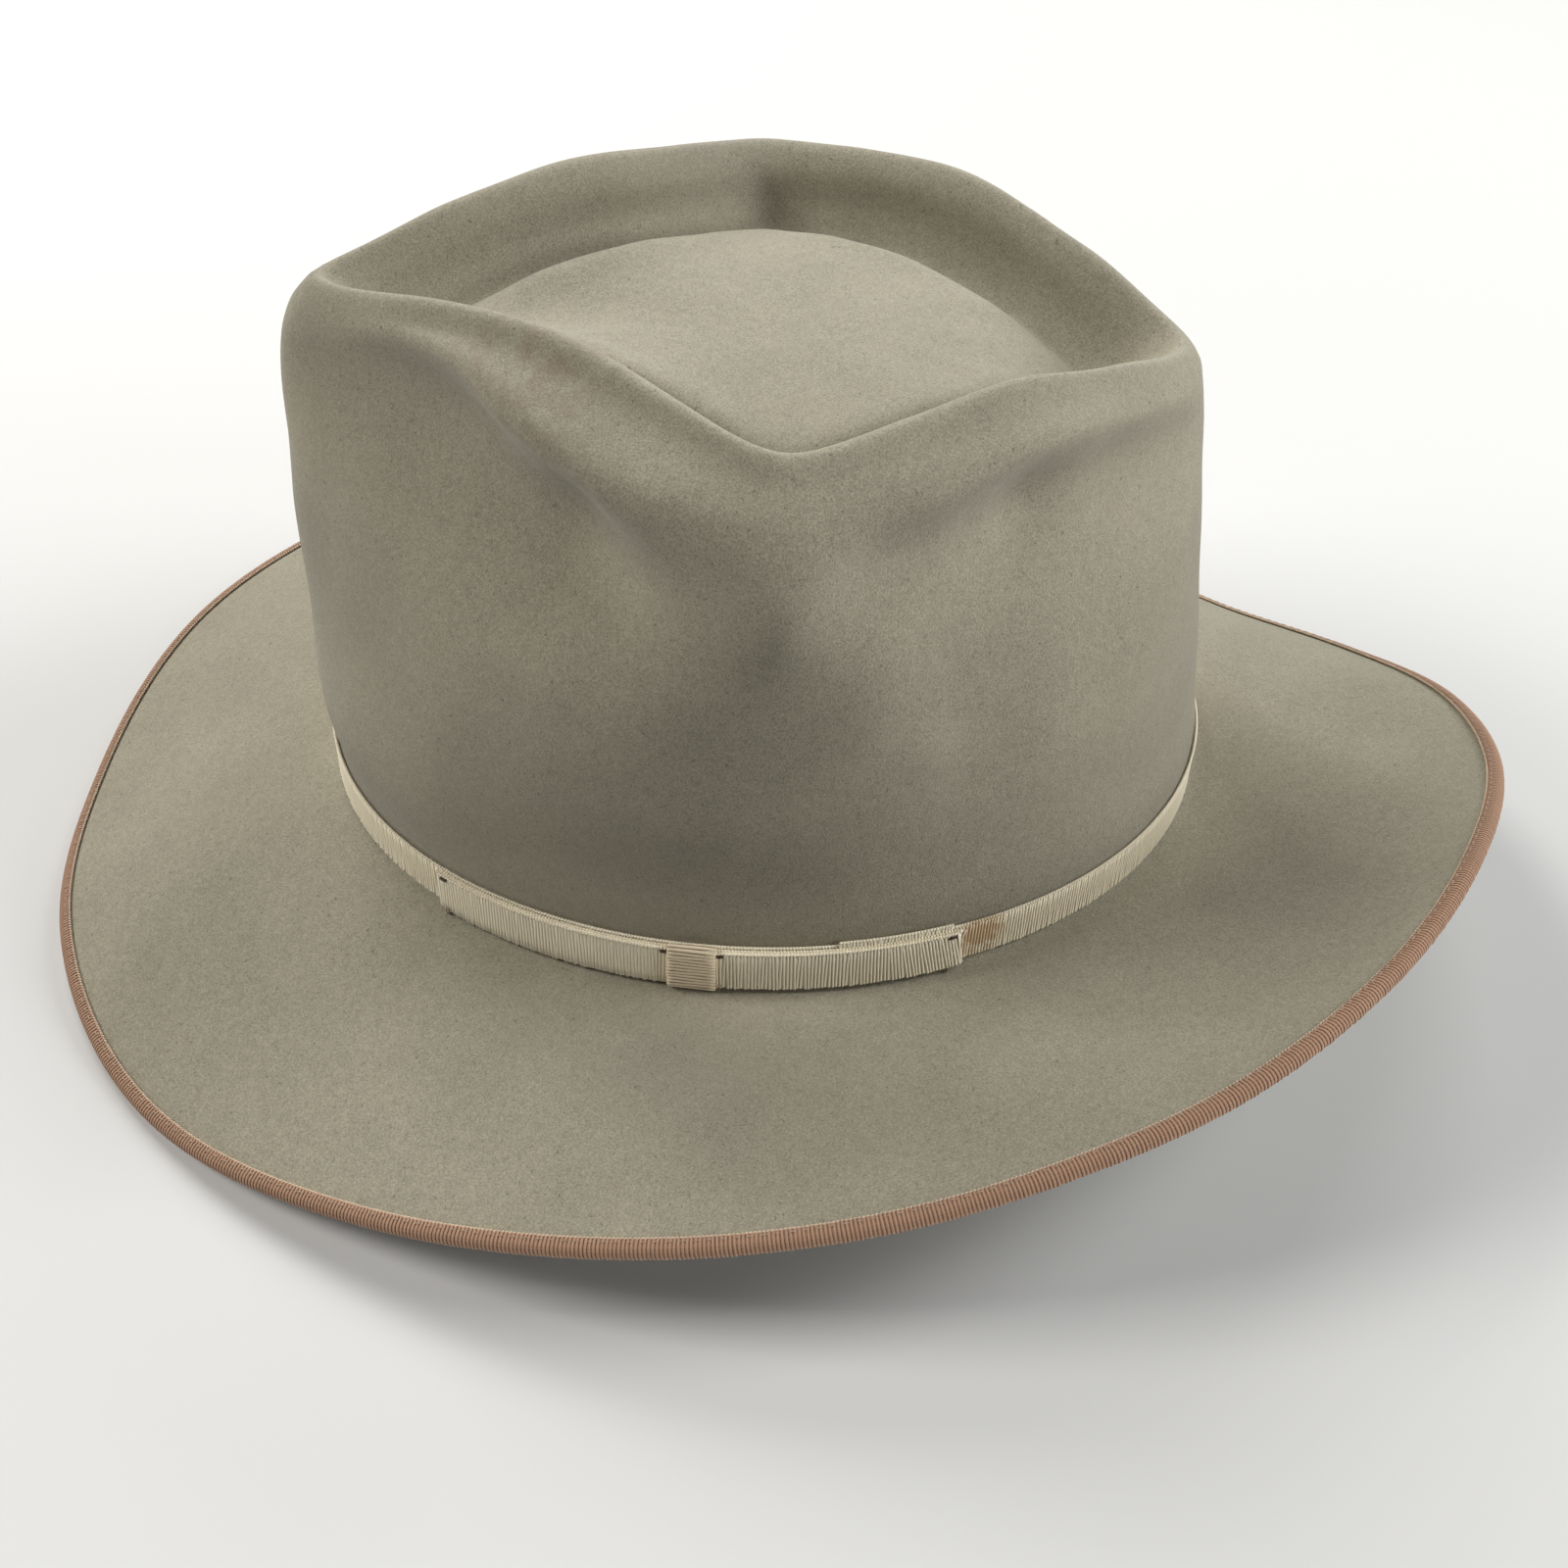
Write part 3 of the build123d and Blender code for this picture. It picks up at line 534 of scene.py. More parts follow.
class Graph:
    """Adds nodes to one tree, by type, settings and sockets."""

    def __init__(self, tree):
        self.tree = tree
        self.tree.nodes.clear()

    def add(self, kind, settings=None, sockets=None, out=0):
        """One node: its settings first, then the values or links of its sockets. Gives one output."""
        node = self.tree.nodes.new(kind)
        for name, value in (settings or {}).items():
            setattr(node, name, value)
        for name, value in (sockets or {}).items():
            if isinstance(value, Socket):
                self.tree.links.new(value.output, node.inputs[name])
            else:
                node.inputs[name].default_value = value
        return Socket(self, node.outputs[out]) if node.outputs else None

    def maths(self, operation, first, second=0.0, clamp=False):
        """Math node on two values."""
        settings = {"operation": operation, "use_clamp": clamp}
        return self.add("ShaderNodeMath", settings, {0: first, 1: second})


class Paint(Graph):
    """Builds one material round a Principled shader."""

    def __init__(self, name):
        self.material = bpy.data.materials.new(name)
        self.material.use_nodes = True
        super().__init__(self.material.node_tree)
        self.place = self.add("ShaderNodeTexCoord", out="Object")

    def noise(self, scale, detail=2.0, roughness=0.5, stretch=None):
        """Noise from 0 to 1, with its scale in waves a metre and an optional stretch of the pattern."""
        place = self.place
        if stretch:
            place = self.add("ShaderNodeMapping", sockets={"Vector": place, "Scale": stretch})
        sockets = {"Vector": place, "Scale": scale, "Detail": detail, "Roughness": roughness}
        return self.add("ShaderNodeTexNoise", sockets=sockets)

    def near(self, point, reach):
        """One at a point, falling to nought at a reach from it."""
        sockets = {0: self.place, 1: point}
        apart = self.add("ShaderNodeVectorMath", {"operation": "DISTANCE"}, sockets, out="Value")
        return self.maths("SUBTRACT", 1.0, apart / reach, clamp=True)

    def attribute(self, name):
        """A number stored on the mesh's points."""
        return self.add("ShaderNodeAttribute", {"attribute_name": name}, out="Fac")

    def between(self, value, low, high):
        """The value stretched so that low gives nought and high gives one."""
        return self.maths("MULTIPLY", value - low, 1 / (high - low), clamp=True)

    def blend(self, share, first, second, mode="MIX"):
        """Two colours mixed by a share."""
        first = first if isinstance(first, Socket) else (*first, 1)
        second = second if isinstance(second, Socket) else (*second, 1)
        settings = {"data_type": "RGBA", "blend_type": mode}
        return self.add("ShaderNodeMix", settings, {0: share, 6: first, 7: second}, out=2)

    def shaded(self, colour, value):
        """A colour made darker or lighter by a value round one."""
        grey = self.add("ShaderNodeCombineColor", sockets={0: value, 1: value, 2: value})
        return self.blend(1.0, colour, grey, "MULTIPLY")

    def finish(self, colour, roughness, height=None, depth=0.0, constants=None):
        """Wire up the shader and give the material back."""
        sockets = {"Base Color": colour, "Roughness": roughness}
        if height is not None:
            sockets["Normal"] = self.add(
                "ShaderNodeBump", sockets={"Strength": 1.0, "Distance": depth, "Height": height},
            )
        shader = self.add("ShaderNodeBsdfPrincipled", sockets={**sockets, **(constants or {})})
        self.add("ShaderNodeOutputMaterial", sockets={"Surface": shader})
        return self.material


class Recipe(Graph):
    """Builds one Geometry Nodes tree with named inputs."""

    def __init__(self, name):
        super().__init__(bpy.data.node_groups.new(name, "GeometryNodeTree"))
        self.tree.is_modifier = True
        self.names = {}

    def expose(self, name, kind):
        """Add a named input and remember its identifier."""
        item = self.tree.interface.new_socket(name=name, in_out="INPUT", socket_type=kind)
        self.names[name] = item.identifier

    def inputs(self):
        """The named inputs, as sockets."""
        node = self.tree.nodes.new("NodeGroupInput")
        return {name: Socket(self, node.outputs[name]) for name in self.names}

    def end(self, geometry):
        """Wire the result to the tree's output."""
        self.tree.interface.new_socket(name="Result", in_out="OUTPUT", socket_type="NodeSocketGeometry")
        self.add("NodeGroupOutput", sockets={0: geometry})


def repeat_recipe():
    """Tree that sets copies of one item along a path, square to it and to a stored lift direction."""
    recipe = Recipe("Repeat along path")
    kinds = {
        "Path": "NodeSocketGeometry", "Item": "NodeSocketObject", "Spacing": "NodeSocketFloat",
        "Unevenness": "NodeSocketFloat", "Seed": "NodeSocketInt", "Finish": "NodeSocketMaterial",
    }
    for name, kind in kinds.items():
        recipe.expose(name, kind)
    given = recipe.inputs()
    line = recipe.add("GeometryNodeMeshToCurve", sockets={"Mesh": given["Path"]})
    line = recipe.add(
        "GeometryNodeResampleCurve", {"mode": "LENGTH"}, {"Curve": line, "Length": given["Spacing"]},
    )
    lift = recipe.add("GeometryNodeInputNamedAttribute", {"data_type": "FLOAT_VECTOR"}, {"Name": "lift"})
    turn = recipe.add("GeometryNodeInputNamedAttribute", {"data_type": "FLOAT"}, {"Name": "turn"})
    along = recipe.add("GeometryNodeInputTangent")
    square = recipe.add(
        "FunctionNodeAxesToRotation", {"primary_axis": "Z", "secondary_axis": "X"},
        {"Primary Axis": lift, "Secondary Axis": along},
    )
    chance = {"Seed": given["Seed"]}
    sway = recipe.add(
        "FunctionNodeRandomValue", {"data_type": "FLOAT"},
        {2: 0 - given["Unevenness"], 3: given["Unevenness"], **chance}, out=1,
    )
    tilt = recipe.add("ShaderNodeCombineXYZ", sockets={"Z": turn + sway})
    lean = recipe.add("FunctionNodeEulerToRotation", sockets={0: tilt})
    pose = recipe.add("FunctionNodeRotateRotation", {"rotation_space": "LOCAL"}, {0: square, 1: lean})
    size = recipe.add(
        "FunctionNodeRandomValue", {"data_type": "FLOAT"},
        {2: 1 - given["Unevenness"], 3: 1 + given["Unevenness"], **chance}, out=1,
    )
    item = recipe.add("GeometryNodeObjectInfo", sockets={"Object": given["Item"]}, out="Geometry")
    copies = recipe.add(
        "GeometryNodeInstanceOnPoints",
        sockets={"Points": line, "Instance": item, "Rotation": pose, "Scale": size},
    )
    solid = recipe.add("GeometryNodeRealizeInstances", sockets={"Geometry": copies})
    sockets = {"Geometry": solid, "Material": given["Finish"]}
    recipe.end(recipe.add("GeometryNodeSetMaterial", sockets=sockets))
    return recipe


def repeated(name, path, lifts, item, spacing, finish, closed=True, turns=0.0, unevenness=0.0, seed=1):
    """Copies of an item along a path, as one plain mesh. The item itself is used up by remove_items."""
    count = len(path)
    edges = [(i, (i + 1) % count) for i in range(count if closed else count - 1)]
    line = bpy.data.meshes.new(name)
    line.from_pydata([tuple(point) for point in path], edges, [])
    guide = bpy.data.objects.new(name, line)
    bpy.context.scene.collection.objects.link(guide)
    store(guide, "lift", "FLOAT_VECTOR", lifts)
    store(guide, "turn", "FLOAT", np.zeros(count) + turns)
    modifier = guide.modifiers.new("Repeat", "NODES")
    modifier.node_group = REPEAT.tree
    values = {"Item": item, "Spacing": spacing, "Unevenness": unevenness, "Seed": seed, "Finish": finish}
    for key, value in values.items():
        modifier[REPEAT.names[key]] = value
    graph = bpy.context.evaluated_depsgraph_get()
    mesh = bpy.data.meshes.new_from_object(guide.evaluated_get(graph))
    guide.modifiers.remove(modifier)
    guide.data = mesh
    mesh.shade_smooth()
    return guide


def remove_items(*items):
    """Take away the patterns that copies were made from."""
    for item in items:
        bpy.data.objects.remove(item)


def rib(name, spine, ups, half_width, height, swell=None):
    """One raised rib along a line in its own Y and Z, closed on every side, with its share of painted groove
    shade stored, most at its sides.
    """
    across = np.array([-1, -0.6, 0, 0.6, 1])
    swell = np.ones(len(spine)) if swell is None else np.array(swell)
    rise = np.sqrt(1 - across**2)
    points, groove_shades = [], []
    for (y, z), (up_y, up_z), size in zip(spine, ups, swell):
        for a, lift in zip(across, rise):
            stand = lift * height * size - 0.03 * MM
            points.append((a * half_width * min(size, 1.15), y + up_y * stand, z + up_z * stand))
            # Painted groove shade: nought on the rib's crown, rising to one at its sides.
            groove_shades.append(1 - lift)
    rows, columns = len(spine), len(across)
    faces = band_faces(rows, columns)
    faces += [tuple(range(columns))[::-1], tuple((rows - 1) * columns + k for k in range(columns))]
    points = np.array(points)
    thing = new_object(name, points, turned_out(points - points.mean(0), faces))
    store(thing, "groove", "FLOAT", groove_shades)
    return thing


def bead(name, length, width, lean, height):
    """One slanted twist of a rope-like edge: a small closed lozenge, rounded along and across."""
    rows, sides = 5, 6
    points = [(-length / 2, 0, 0)]
    for i in range(1, rows):
        share = i / rows
        size = sin(pi * share) ** 0.5
        for k in range(sides):
            turn = 2 * pi * k / sides
            points.append((length * (share - 0.5), width / 2 * size * cos(turn), height * size * sin(turn)))
    points.append((length / 2, 0, 0))
    faces = [tuple(v + 1 for v in face) for face in band_faces(rows - 1, sides)]
    last = len(points) - 1
    for k in range(sides):
        faces.append((0, 1 + (k + 1) % sides, 1 + k))
        faces.append((last, last - sides + k, last - sides + (k + 1) % sides))
    turned = [Matrix.Rotation(lean, 3, "Z") @ Vector(point) for point in points]
    thing = new_object(name, turned, turned_out(np.array(turned), faces))
    # Every bead carries a fixed share of painted groove shade, read by the ribbon finish.
    store(thing, "groove", "FLOAT", [0.35] * len(points))
    return thing


# ---------------------------------------------------------------------------
# Finishes
# ---------------------------------------------------------------------------
def felt_finish(settings):
    """Matte felt: a short nap, small flecks, slow mottling, a little soiling where hands touch it, and
    painted shade that darkens felt facing sideways or down.
    """
    paint = Paint("felt")
    nap = paint.noise(2500, 2, 0.7)
    fibre = paint.noise(520, 4, 0.75)
    mottle = paint.noise(38, 4, 0.6)
    cloud = paint.noise(11, 2, 0.5)
    grain = paint.between(nap, 0.34, 0.66) * 0.50 + paint.between(fibre, 0.3, 0.7) * 0.20
    shade = 0.54 + grain + paint.between(mottle, 0.3, 0.7) * 0.15 + cloud * 0.06
    # Painted shade: the colour is darker where the felt faces sideways or down and lighter where it faces up.
    colour = paint.shaded(tuple(settings.colour), shade * (0.70 + paint.attribute("painted_light_by_facing") * 0.33))
    worn = paint.between(paint.noise(16, 3, 0.55), 0.52, 0.72)
    colour = paint.blend(worn * 0.22, colour, (0.27, 0.225, 0.15))
    damp = paint.between(paint.noise(13, 2, 0.5), 0.55, 0.75)
    colour = paint.blend(damp * 0.25, colour, (0.185, 0.17, 0.145))
    flecks = paint.between(paint.noise(1100, 2, 0.4), 0.68, 0.75)
    colour = paint.blend(flecks * 0.6, colour, (0.11, 0.09, 0.07))
    soil = paint.near((0.045, -0.045, 0.120), 0.024) * paint.between(paint.noise(190, 3, 0.6), 0.42, 0.62)
    colour = paint.blend(soil * 0.5, colour, (0.20, 0.13, 0.075))
    height = nap * 0.5 + fibre * 0.5
    return paint.finish(
        colour, 0.95, height, settings.nap_depth,
        {
            "Specular IOR Level": 0.15, "Sheen Weight": 0.25, "Sheen Roughness": 0.6,
            "Sheen Tint": (0.9, 0.88, 0.82, 1),
        },
    )


def ribbon_finish(name, colour, groove_shade_colour, stain=None, groove_shade_strength=0.7):
    """Ribbed ribbon: its own colour on the ribs, painted shade in the grooves between them, uneven from
    thread to thread.
    """
    paint = Paint(name)
    groove = paint.attribute("groove")
    thread = paint.noise(2600, 2, 0.6)
    patch = paint.noise(110, 3, 0.6)
    shaded = paint.shaded(tuple(colour), 0.80 + thread * 0.26 + patch * 0.16)
    # Painted shade: the grooves between the ribs are darkened towards the groove shade colour.
    shaded = paint.blend(groove ** (2.5 - groove_shade_strength) * groove_shade_strength, shaded, groove_shade_colour)
    if stain:
        place, reach, stain_colour = stain
        blot = paint.near(place, reach) * paint.between(paint.noise(420, 3, 0.6), 0.30, 0.55)
        shaded = paint.blend(paint.between(blot, 0.1, 0.5) * 0.6, shaded, stain_colour)
    return paint.finish(
        shaded, 0.62 + thread * 0.2, thread, 0.05 * MM,
        {"Specular IOR Level": 0.3, "Sheen Weight": 0.2, "Sheen Roughness": 0.4},
    )


def leather_finish(settings):
    """Smooth sweat leather: fine grain and slow, uneven patches."""
    paint = Paint("sweat leather")
    grain = paint.add(
        "ShaderNodeTexVoronoi", {"feature": "DISTANCE_TO_EDGE"}, {"Vector": paint.place, "Scale": 900},
    )
    pores = paint.between(grain, 0.02, 0.16)
    patch = paint.noise(45, 4, 0.6)
    colour = paint.shaded(tuple(settings.leather_colour), 0.7 + pores * 0.25 + patch * 0.35)
    return paint.finish(
        colour, 0.36 + patch * 0.2, pores, 0.06 * MM,
        {"Specular IOR Level": 0.45, "Coat Weight": 0.12, "Coat Roughness": 0.3},
    )


def satin_finish(name, colour):
    """Satin: a smooth face with faint warp lines and a soft gloss."""
    paint = Paint(name)
    warp = paint.noise(1, 2, 0.6, (900, 900, 60))
    patch = paint.noise(30, 3, 0.5)
    shaded = paint.shaded(tuple(colour), 0.84 + warp * 0.16 + patch * 0.14)
    return paint.finish(
        shaded, 0.34 + warp * 0.16, warp, 0.04 * MM,
        {"Specular IOR Level": 0.5, "Sheen Weight": 0.35, "Sheen Roughness": 0.3, "Anisotropic": 0.5},
    )


def cloth_finish(name, colour, scale=1400):
    """Plain woven cloth or thread: a fine weave with uneven threads."""
    paint = Paint(name)
    weave = paint.add(
        "ShaderNodeTexVoronoi", {"feature": "F1"},
        {"Vector": paint.place, "Scale": scale, "Randomness": 0.35},
    )
    thread = paint.noise(scale * 1.7, 2, 0.6)
    shaded = paint.shaded(tuple(colour), 1.08 - weave * 0.35 + (thread - 0.5) * 0.3)
    return paint.finish(shaded, 0.85, 1 - weave, 0.08 * MM, {"Specular IOR Level": 0.2, "Sheen Weight": 0.2})


def plastic_finish(name, colour, alpha=1.0):
    """Smooth plastic with faint scuffs."""
    paint = Paint(name)
    scuff = paint.noise(160, 4, 0.7)
    shaded = paint.shaded(tuple(colour), 0.9 + scuff * 0.2)
    return paint.finish(shaded, 0.12 + scuff * 0.25, scuff, 0.02 * MM, {"Alpha": alpha, "IOR": 1.46})


# ---------------------------------------------------------------------------
# Felt and binding
# ---------------------------------------------------------------------------
def felt_edge(count):
    """Points along the brim's edge with the directions up off the felt and out from the edge."""
    angles = np.arange(count) * 360 / count
    rings = smooth_rings(felt_stations(angles), FELT_STEPS)[-4:]
    lifts = ring_normals(rings)[-1]
    along = np.roll(rings[-1], -1, 0) - np.roll(rings[-1], 1, 0)
    outs = np.cross(lifts, along)
    return rings[-1], lifts, outs / np.linalg.norm(outs, axis=-1, keepdims=True)


def rounded_edge_spine(stand, inward, steps):
    """Line round the brim's edge in its own section, from the top round to the underside: places and ups."""
    half = FELT_THICK / 2
    spine, ups = [], []
    for i in range(3):
        spine.append((-inward + (inward - half) * i / 3, stand))
        ups.append((0, 1))
    for i in range(steps + 1):
        turn = pi / 2 - pi * i / steps
        spine.append((-half + (half + stand) * cos(turn), -half + (half + stand) * sin(turn)))
        ups.append((cos(turn), sin(turn)))
    for i in range(1, 4):
        spine.append((-half - (inward - half) * i / 3, -FELT_THICK - stand))
        ups.append((0, -1))
    return spine, ups


def set_along(points, lifts, outs, section):
    """Rings, one for each section place (out, up), that follow a path."""
    return np.array([points + outs * out + lifts * up for out, up in section])


def build_felt(settings):
    """Crown and brim as one closed skin, with its thickness."""
    skin = felt_skin(settings.around)
    normals = ring_normals(skin)
    normals[0] = (0, 0, 1)
    keep = [0] + list(range(4, len(skin) - 5, 3)) + [len(skin) - 4]
    under = skin[keep] - normals[keep] * FELT_THICK
    edge, lifts = skin[-1], normals[-1]
    outs = np.cross(lifts, np.roll(edge, -1, 0) - np.roll(edge, 1, 0))
    outs /= np.linalg.norm(outs, axis=-1, keepdims=True)
    half = FELT_THICK / 2
    turn = [radians(a) for a in (60, 25, -10, -45, -90)]
    rim = set_along(edge, lifts, outs, [(half * (cos(t) - 1), half * (sin(t) - 1)) for t in turn])
    rings = np.concatenate([skin[:-2], rim, under[::-1]])
    felt = shell_with_poles("felt_crown_and_brim", rings, felt_finish(settings))
    # Share of painted light by facing: one where the felt faces up, nought where it faces sideways or down.
    facing_up = np.array([vertex.normal.z for vertex in felt.data.vertices])
    store(felt, "painted_light_by_facing", "FLOAT", smooth_step(facing_up, -0.35, 0.6))
    return felt


def build_binding(settings):
    """Ribbed ribbon folded round the brim's edge, with its rope-like selvages."""
    finish = ribbon_finish("binding ribbon", settings.binding_colour, (0.12, 0.06, 0.035), groove_shade_strength=1.45)
    pale = ribbon_finish("binding selvage", (0.74, 0.58, 0.43), (0.30, 0.19, 0.12))
    edge, lifts, outs = felt_edge(720)
    inner, _ = rounded_edge_spine(RIBBON_GAP, BINDING_WIDTH, 8)
    outer, _ = rounded_edge_spine(RIBBON_GAP + RIBBON_THICK, BINDING_WIDTH, 8)
    base = strap("binding_ribbon", set_along(edge, lifts, outs, inner + outer[::-1]), finish)
    spine, ups = rounded_edge_spine(RIBBON_GAP + RIBBON_THICK, BINDING_WIDTH, 6)
    item = rib("binding_rib", spine, ups, settings.binding_pitch * 0.5, BINDING_RIB_HEIGHT)
    ribs = repeated(
        "binding_ribs", edge, lifts, item, settings.binding_pitch, finish,
        unevenness=0.03, seed=settings.seed,
    )
    twist = bead("selvage_twist", 0.95 * MM, 0.5 * MM, radians(28), 0.34 * MM)
    top = RIBBON_GAP + RIBBON_THICK * 0.7
    selvage = []
    for name, rise in (("top", top), ("under", -FELT_THICK - top)):
        line = edge - outs * (BINDING_WIDTH + 0.1 * MM) + lifts * rise
        selvage.append(repeated(
            f"binding_selvage_{name}", line, lifts, twist, settings.binding_pitch, pale,
            unevenness=0.06, seed=3,
        ))
    remove_items(item, twist)
    return base, ribs, selvage


def build_binding_stitches(settings):
    """Short stitches through the binding, close to its inner edge, above and below."""
    finish = cloth_finish("binding thread", (0.44, 0.32, 0.23), 3000)
    edge, lifts, outs = felt_edge(720)
    stitch = bead("binding_stitch", 1.7 * MM, 0.34 * MM, radians(4), 0.22 * MM)
    rows = []
    stand = RIBBON_GAP + RIBBON_THICK + 0.14 * MM
    for name, rise in (("top", stand), ("under", -FELT_THICK - stand)):
        line = edge - outs * (BINDING_WIDTH - BINDING_STITCH_SETBACK) + lifts * rise
        rows.append(repeated(
            f"binding_stitches_{name}", line, lifts, stitch, BINDING_STITCH_PITCH, finish,
            unevenness=0.05, seed=5,
        ))
    remove_items(stitch)
    return rows


# ---------------------------------------------------------------------------
# Band and bow
# ---------------------------------------------------------------------------
def band_ribs(name, path, lifts, pitch, height, finish, closed=True, turns=0.0, seed=1):
    """Upright ribs along a ribbon, each with a bead at its lower end, and a rope-like cord on top."""
    half = BAND_WIDTH / 2
    places = (-half, -half * 0.5, half * 0.4, half - 0.8 * MM, half - 0.4 * MM, half)
    spine = [(place, 0) for place in places]
    ups = [(0, 1)] * len(spine)
    item = rib("rib", spine, ups, pitch * 0.5, height, [1, 1, 1, 0.92, 1.5, 0.7])
    ribs = repeated(name + "_ribs", path, lifts, item, pitch, finish, closed, turns, RIB_UNEVENNESS, seed)
    twist = bead("twist", pitch * 1.25, 0.62 * MM, radians(32), 0.36 * MM)
    top = path + np.array([0, 0, half])
    cord = repeated(
        name + "_cord", top, lifts, twist, pitch * 0.92, finish, closed, 0.0, RIB_UNEVENNESS, seed + 1,
    )
    remove_items(item, twist)
    return ribs, cord


def build_band(settings):
    """Ribbed band round the foot of the crown, its end lapped over its start a little higher."""
    stain_place = tuple(off_wall(np.array([STAIN_ANGLE]), BAND_OUT, BAND_BASE + STAIN_LEVEL)[0])
    stain = (stain_place, STAIN_REACH, (0.50, 0.27, 0.085))
    finish = ribbon_finish("band ribbon", settings.band_colour, (0.30, 0.24, 0.155), stain=stain)
    pieces = []
    spans = (
        ("hatband", np.arange(0, 360, 0.75), BAND_GAP, BAND_BASE, True),
        ("hatband_lap", np.linspace(LAP_ANGLE, LAP_END_ANGLE, 24), BAND_OUT, BAND_BASE + LAP_RAISE, False),
    )
    for name, angles, inside, base, closed in spans:
        outside = inside + RIBBON_THICK
        low, high = base + 0.1 * MM, base + BAND_WIDTH
        corners = ((inside, low), (inside, high), (outside, high), (outside, low))
        rings = [off_wall(angles, stand, height) for stand, height in corners]
        pieces.append(strap(name, rings, finish, closed))
        path = off_wall(angles, outside, base + BAND_WIDTH / 2)
        pieces += band_ribs(
            name, path, outward(angles), settings.rib_pitch, BAND_RIB_HEIGHT, finish, closed,
            seed=settings.seed,
        )
    return pieces


def loop_path(start, end, bulge):
    """Angles and stands of a flat ribbon loop: out along the back, round the end, home along the front."""
    reach = np.linspace(0, 1, 26)
    middle, half = (BOW_IN + BOW_OUT) / 2, (BOW_OUT - BOW_IN) / 2
    back = [(start + (end - start) * share, middle - half - bulge * share**3 * 0.3) for share in reach]
    turn_span = 1.1 * (1 if end > start else -1)
    tip = []
    for k in range(1, 8):
        turn = pi * k / 8
        tip.append((end + turn_span * sin(turn), middle + bulge * 0.35 - (half + bulge) * cos(turn) * 0.8))
    front = [(start + (end - start) * share, middle + half + bulge * share**3) for share in reach[::-1]]
    return np.array(back + tip + front).T


def flat_normals(path, side):
    """Level directions square to a path, on one side of it."""
    along = np.gradient(path, axis=0)
    square = np.cross(along, np.array([0, 0, side]))
    return square / np.linalg.norm(square, axis=-1, keepdims=True)


def build_loop(name, start, end, settings, finish, height, bulge, slant):
    """One loop of the bow: ribbon out, folded round and home again, hollow between its layers."""
    angles, stands = loop_path(start, end, bulge)
    level = BAND_BASE + BAND_WIDTH / 2 - BOW_DROP
    path = off_wall(angles, stands, level)
    side = 1 if end > start else -1
    faces_out = flat_normals(path, side)
    share = np.clip((angles - start) / (end - start), 0, 1)
    width = BAND_WIDTH * (1 - 0.02 * share)
    rise = np.array([0, 0, 1]) * (width / 2)[:, None]
    inner = path - faces_out * RIBBON_THICK
    strip = strap(name, [inner - rise, inner + rise, path + rise, path - rise], finish, False)
    turns = slant * smooth_step(share, 0.55, 1.0)
    return [strip] + list(band_ribs(
        name, path, faces_out, settings.rib_pitch, height, finish, False, turns, settings.seed + 2,
    ))


def keeper_line(count):
    """Closed loop round the bow in the keeper's own section: stand off the wall, and height."""
    low, high = BAND_BASE - 0.55 * MM, BAND_BASE + BAND_WIDTH + 0.75 * MM
    near, far = KEEPER_BACK_IN + RIBBON_THICK, BOW_OUT + RIBBON_GAP + 0.75 * MM
    middle, half = (low + high) / 2, (high - low) / 2
    depth_middle, depth_half = (near + far) / 2, (far - near) / 2
    points = []
    for i in range(count):
        turn = 2 * pi * i / count
        across, up = cos(turn), sin(turn)
        points.append((
            depth_middle + depth_half * np.sign(across) * abs(across) ** 0.35,
            middle + half * np.sign(up) * abs(up) ** 0.55,
        ))
    return points


def build_keeper(settings, finish):
    """Square keeper of ribbon wrapped round the middle of the bow, with its ribs lying level."""
    line = keeper_line(72)
    half_angle = np.degrees(KEEPER_WIDTH / 2 / oval_radius(np.array([KEEPER_ANGLE]))[0])
    angles = KEEPER_ANGLE + np.array([-1, 0, 1]) * half_angle
    columns = np.array([
        [off_wall(np.array([angle]), stand, height)[0] for stand, height in line] for angle in angles
    ])
    middle = columns[1]
    across = columns[2] - columns[0]
    across /= np.linalg.norm(across, axis=-1, keepdims=True)
    along = np.roll(middle, -1, 0) - np.roll(middle, 1, 0)
    ups = np.cross(across, along)
    ups /= np.linalg.norm(ups, axis=-1, keepdims=True)
    centre = middle.mean(0)
    if ((middle - centre) * ups).sum() < 0:
        ups = -ups
    half = KEEPER_WIDTH / 2
    rings = []
    for reach, depth in ((-1, RIBBON_THICK), (-1, 0), (1, 0), (1, RIBBON_THICK)):
        rings.append(middle + across * half * reach - ups * depth)
    strip = strap("bow_keeper", rings, finish)
    spine = [(-half, 0), (-half * 0.6, 0), (0, 0), (half * 0.6, 0), (half, 0)]
    item = rib("keeper_rib", spine, [(0, 1)] * 5, 0.46 * MM, 0.34 * MM, [0.8, 1, 1.05, 1, 0.8])
    ribs = repeated(
        "bow_keeper_ribs", middle, ups, item, KEEPER_RIB_PITCH, finish, unevenness=0.03, seed=settings.seed,
    )
    remove_items(item)
    return [strip, ribs]


def build_bow(settings):
    """Flat bow over the band: a front loop, a rear loop and the keeper round them."""
    finish = ribbon_finish("bow ribbon", settings.band_colour, (0.30, 0.24, 0.155))
    keeper_finish = ribbon_finish("keeper ribbon", (0.80, 0.68, 0.48), (0.15, 0.10, 0.055), groove_shade_strength=0.95)
    front = build_loop(
        "bow_front_loop", KEEPER_ANGLE + 1, FRONT_LOOP_ANGLE, settings, finish,
        height=0.16 * MM, bulge=-0.15 * MM, slant=0.0,
    )
    rear = build_loop(
        "bow_rear_loop", KEEPER_ANGLE - 1, REAR_LOOP_ANGLE, settings, finish,
        height=0.27 * MM, bulge=-0.05 * MM, slant=0.22,
    )
    return front, rear, build_keeper(settings, keeper_finish)


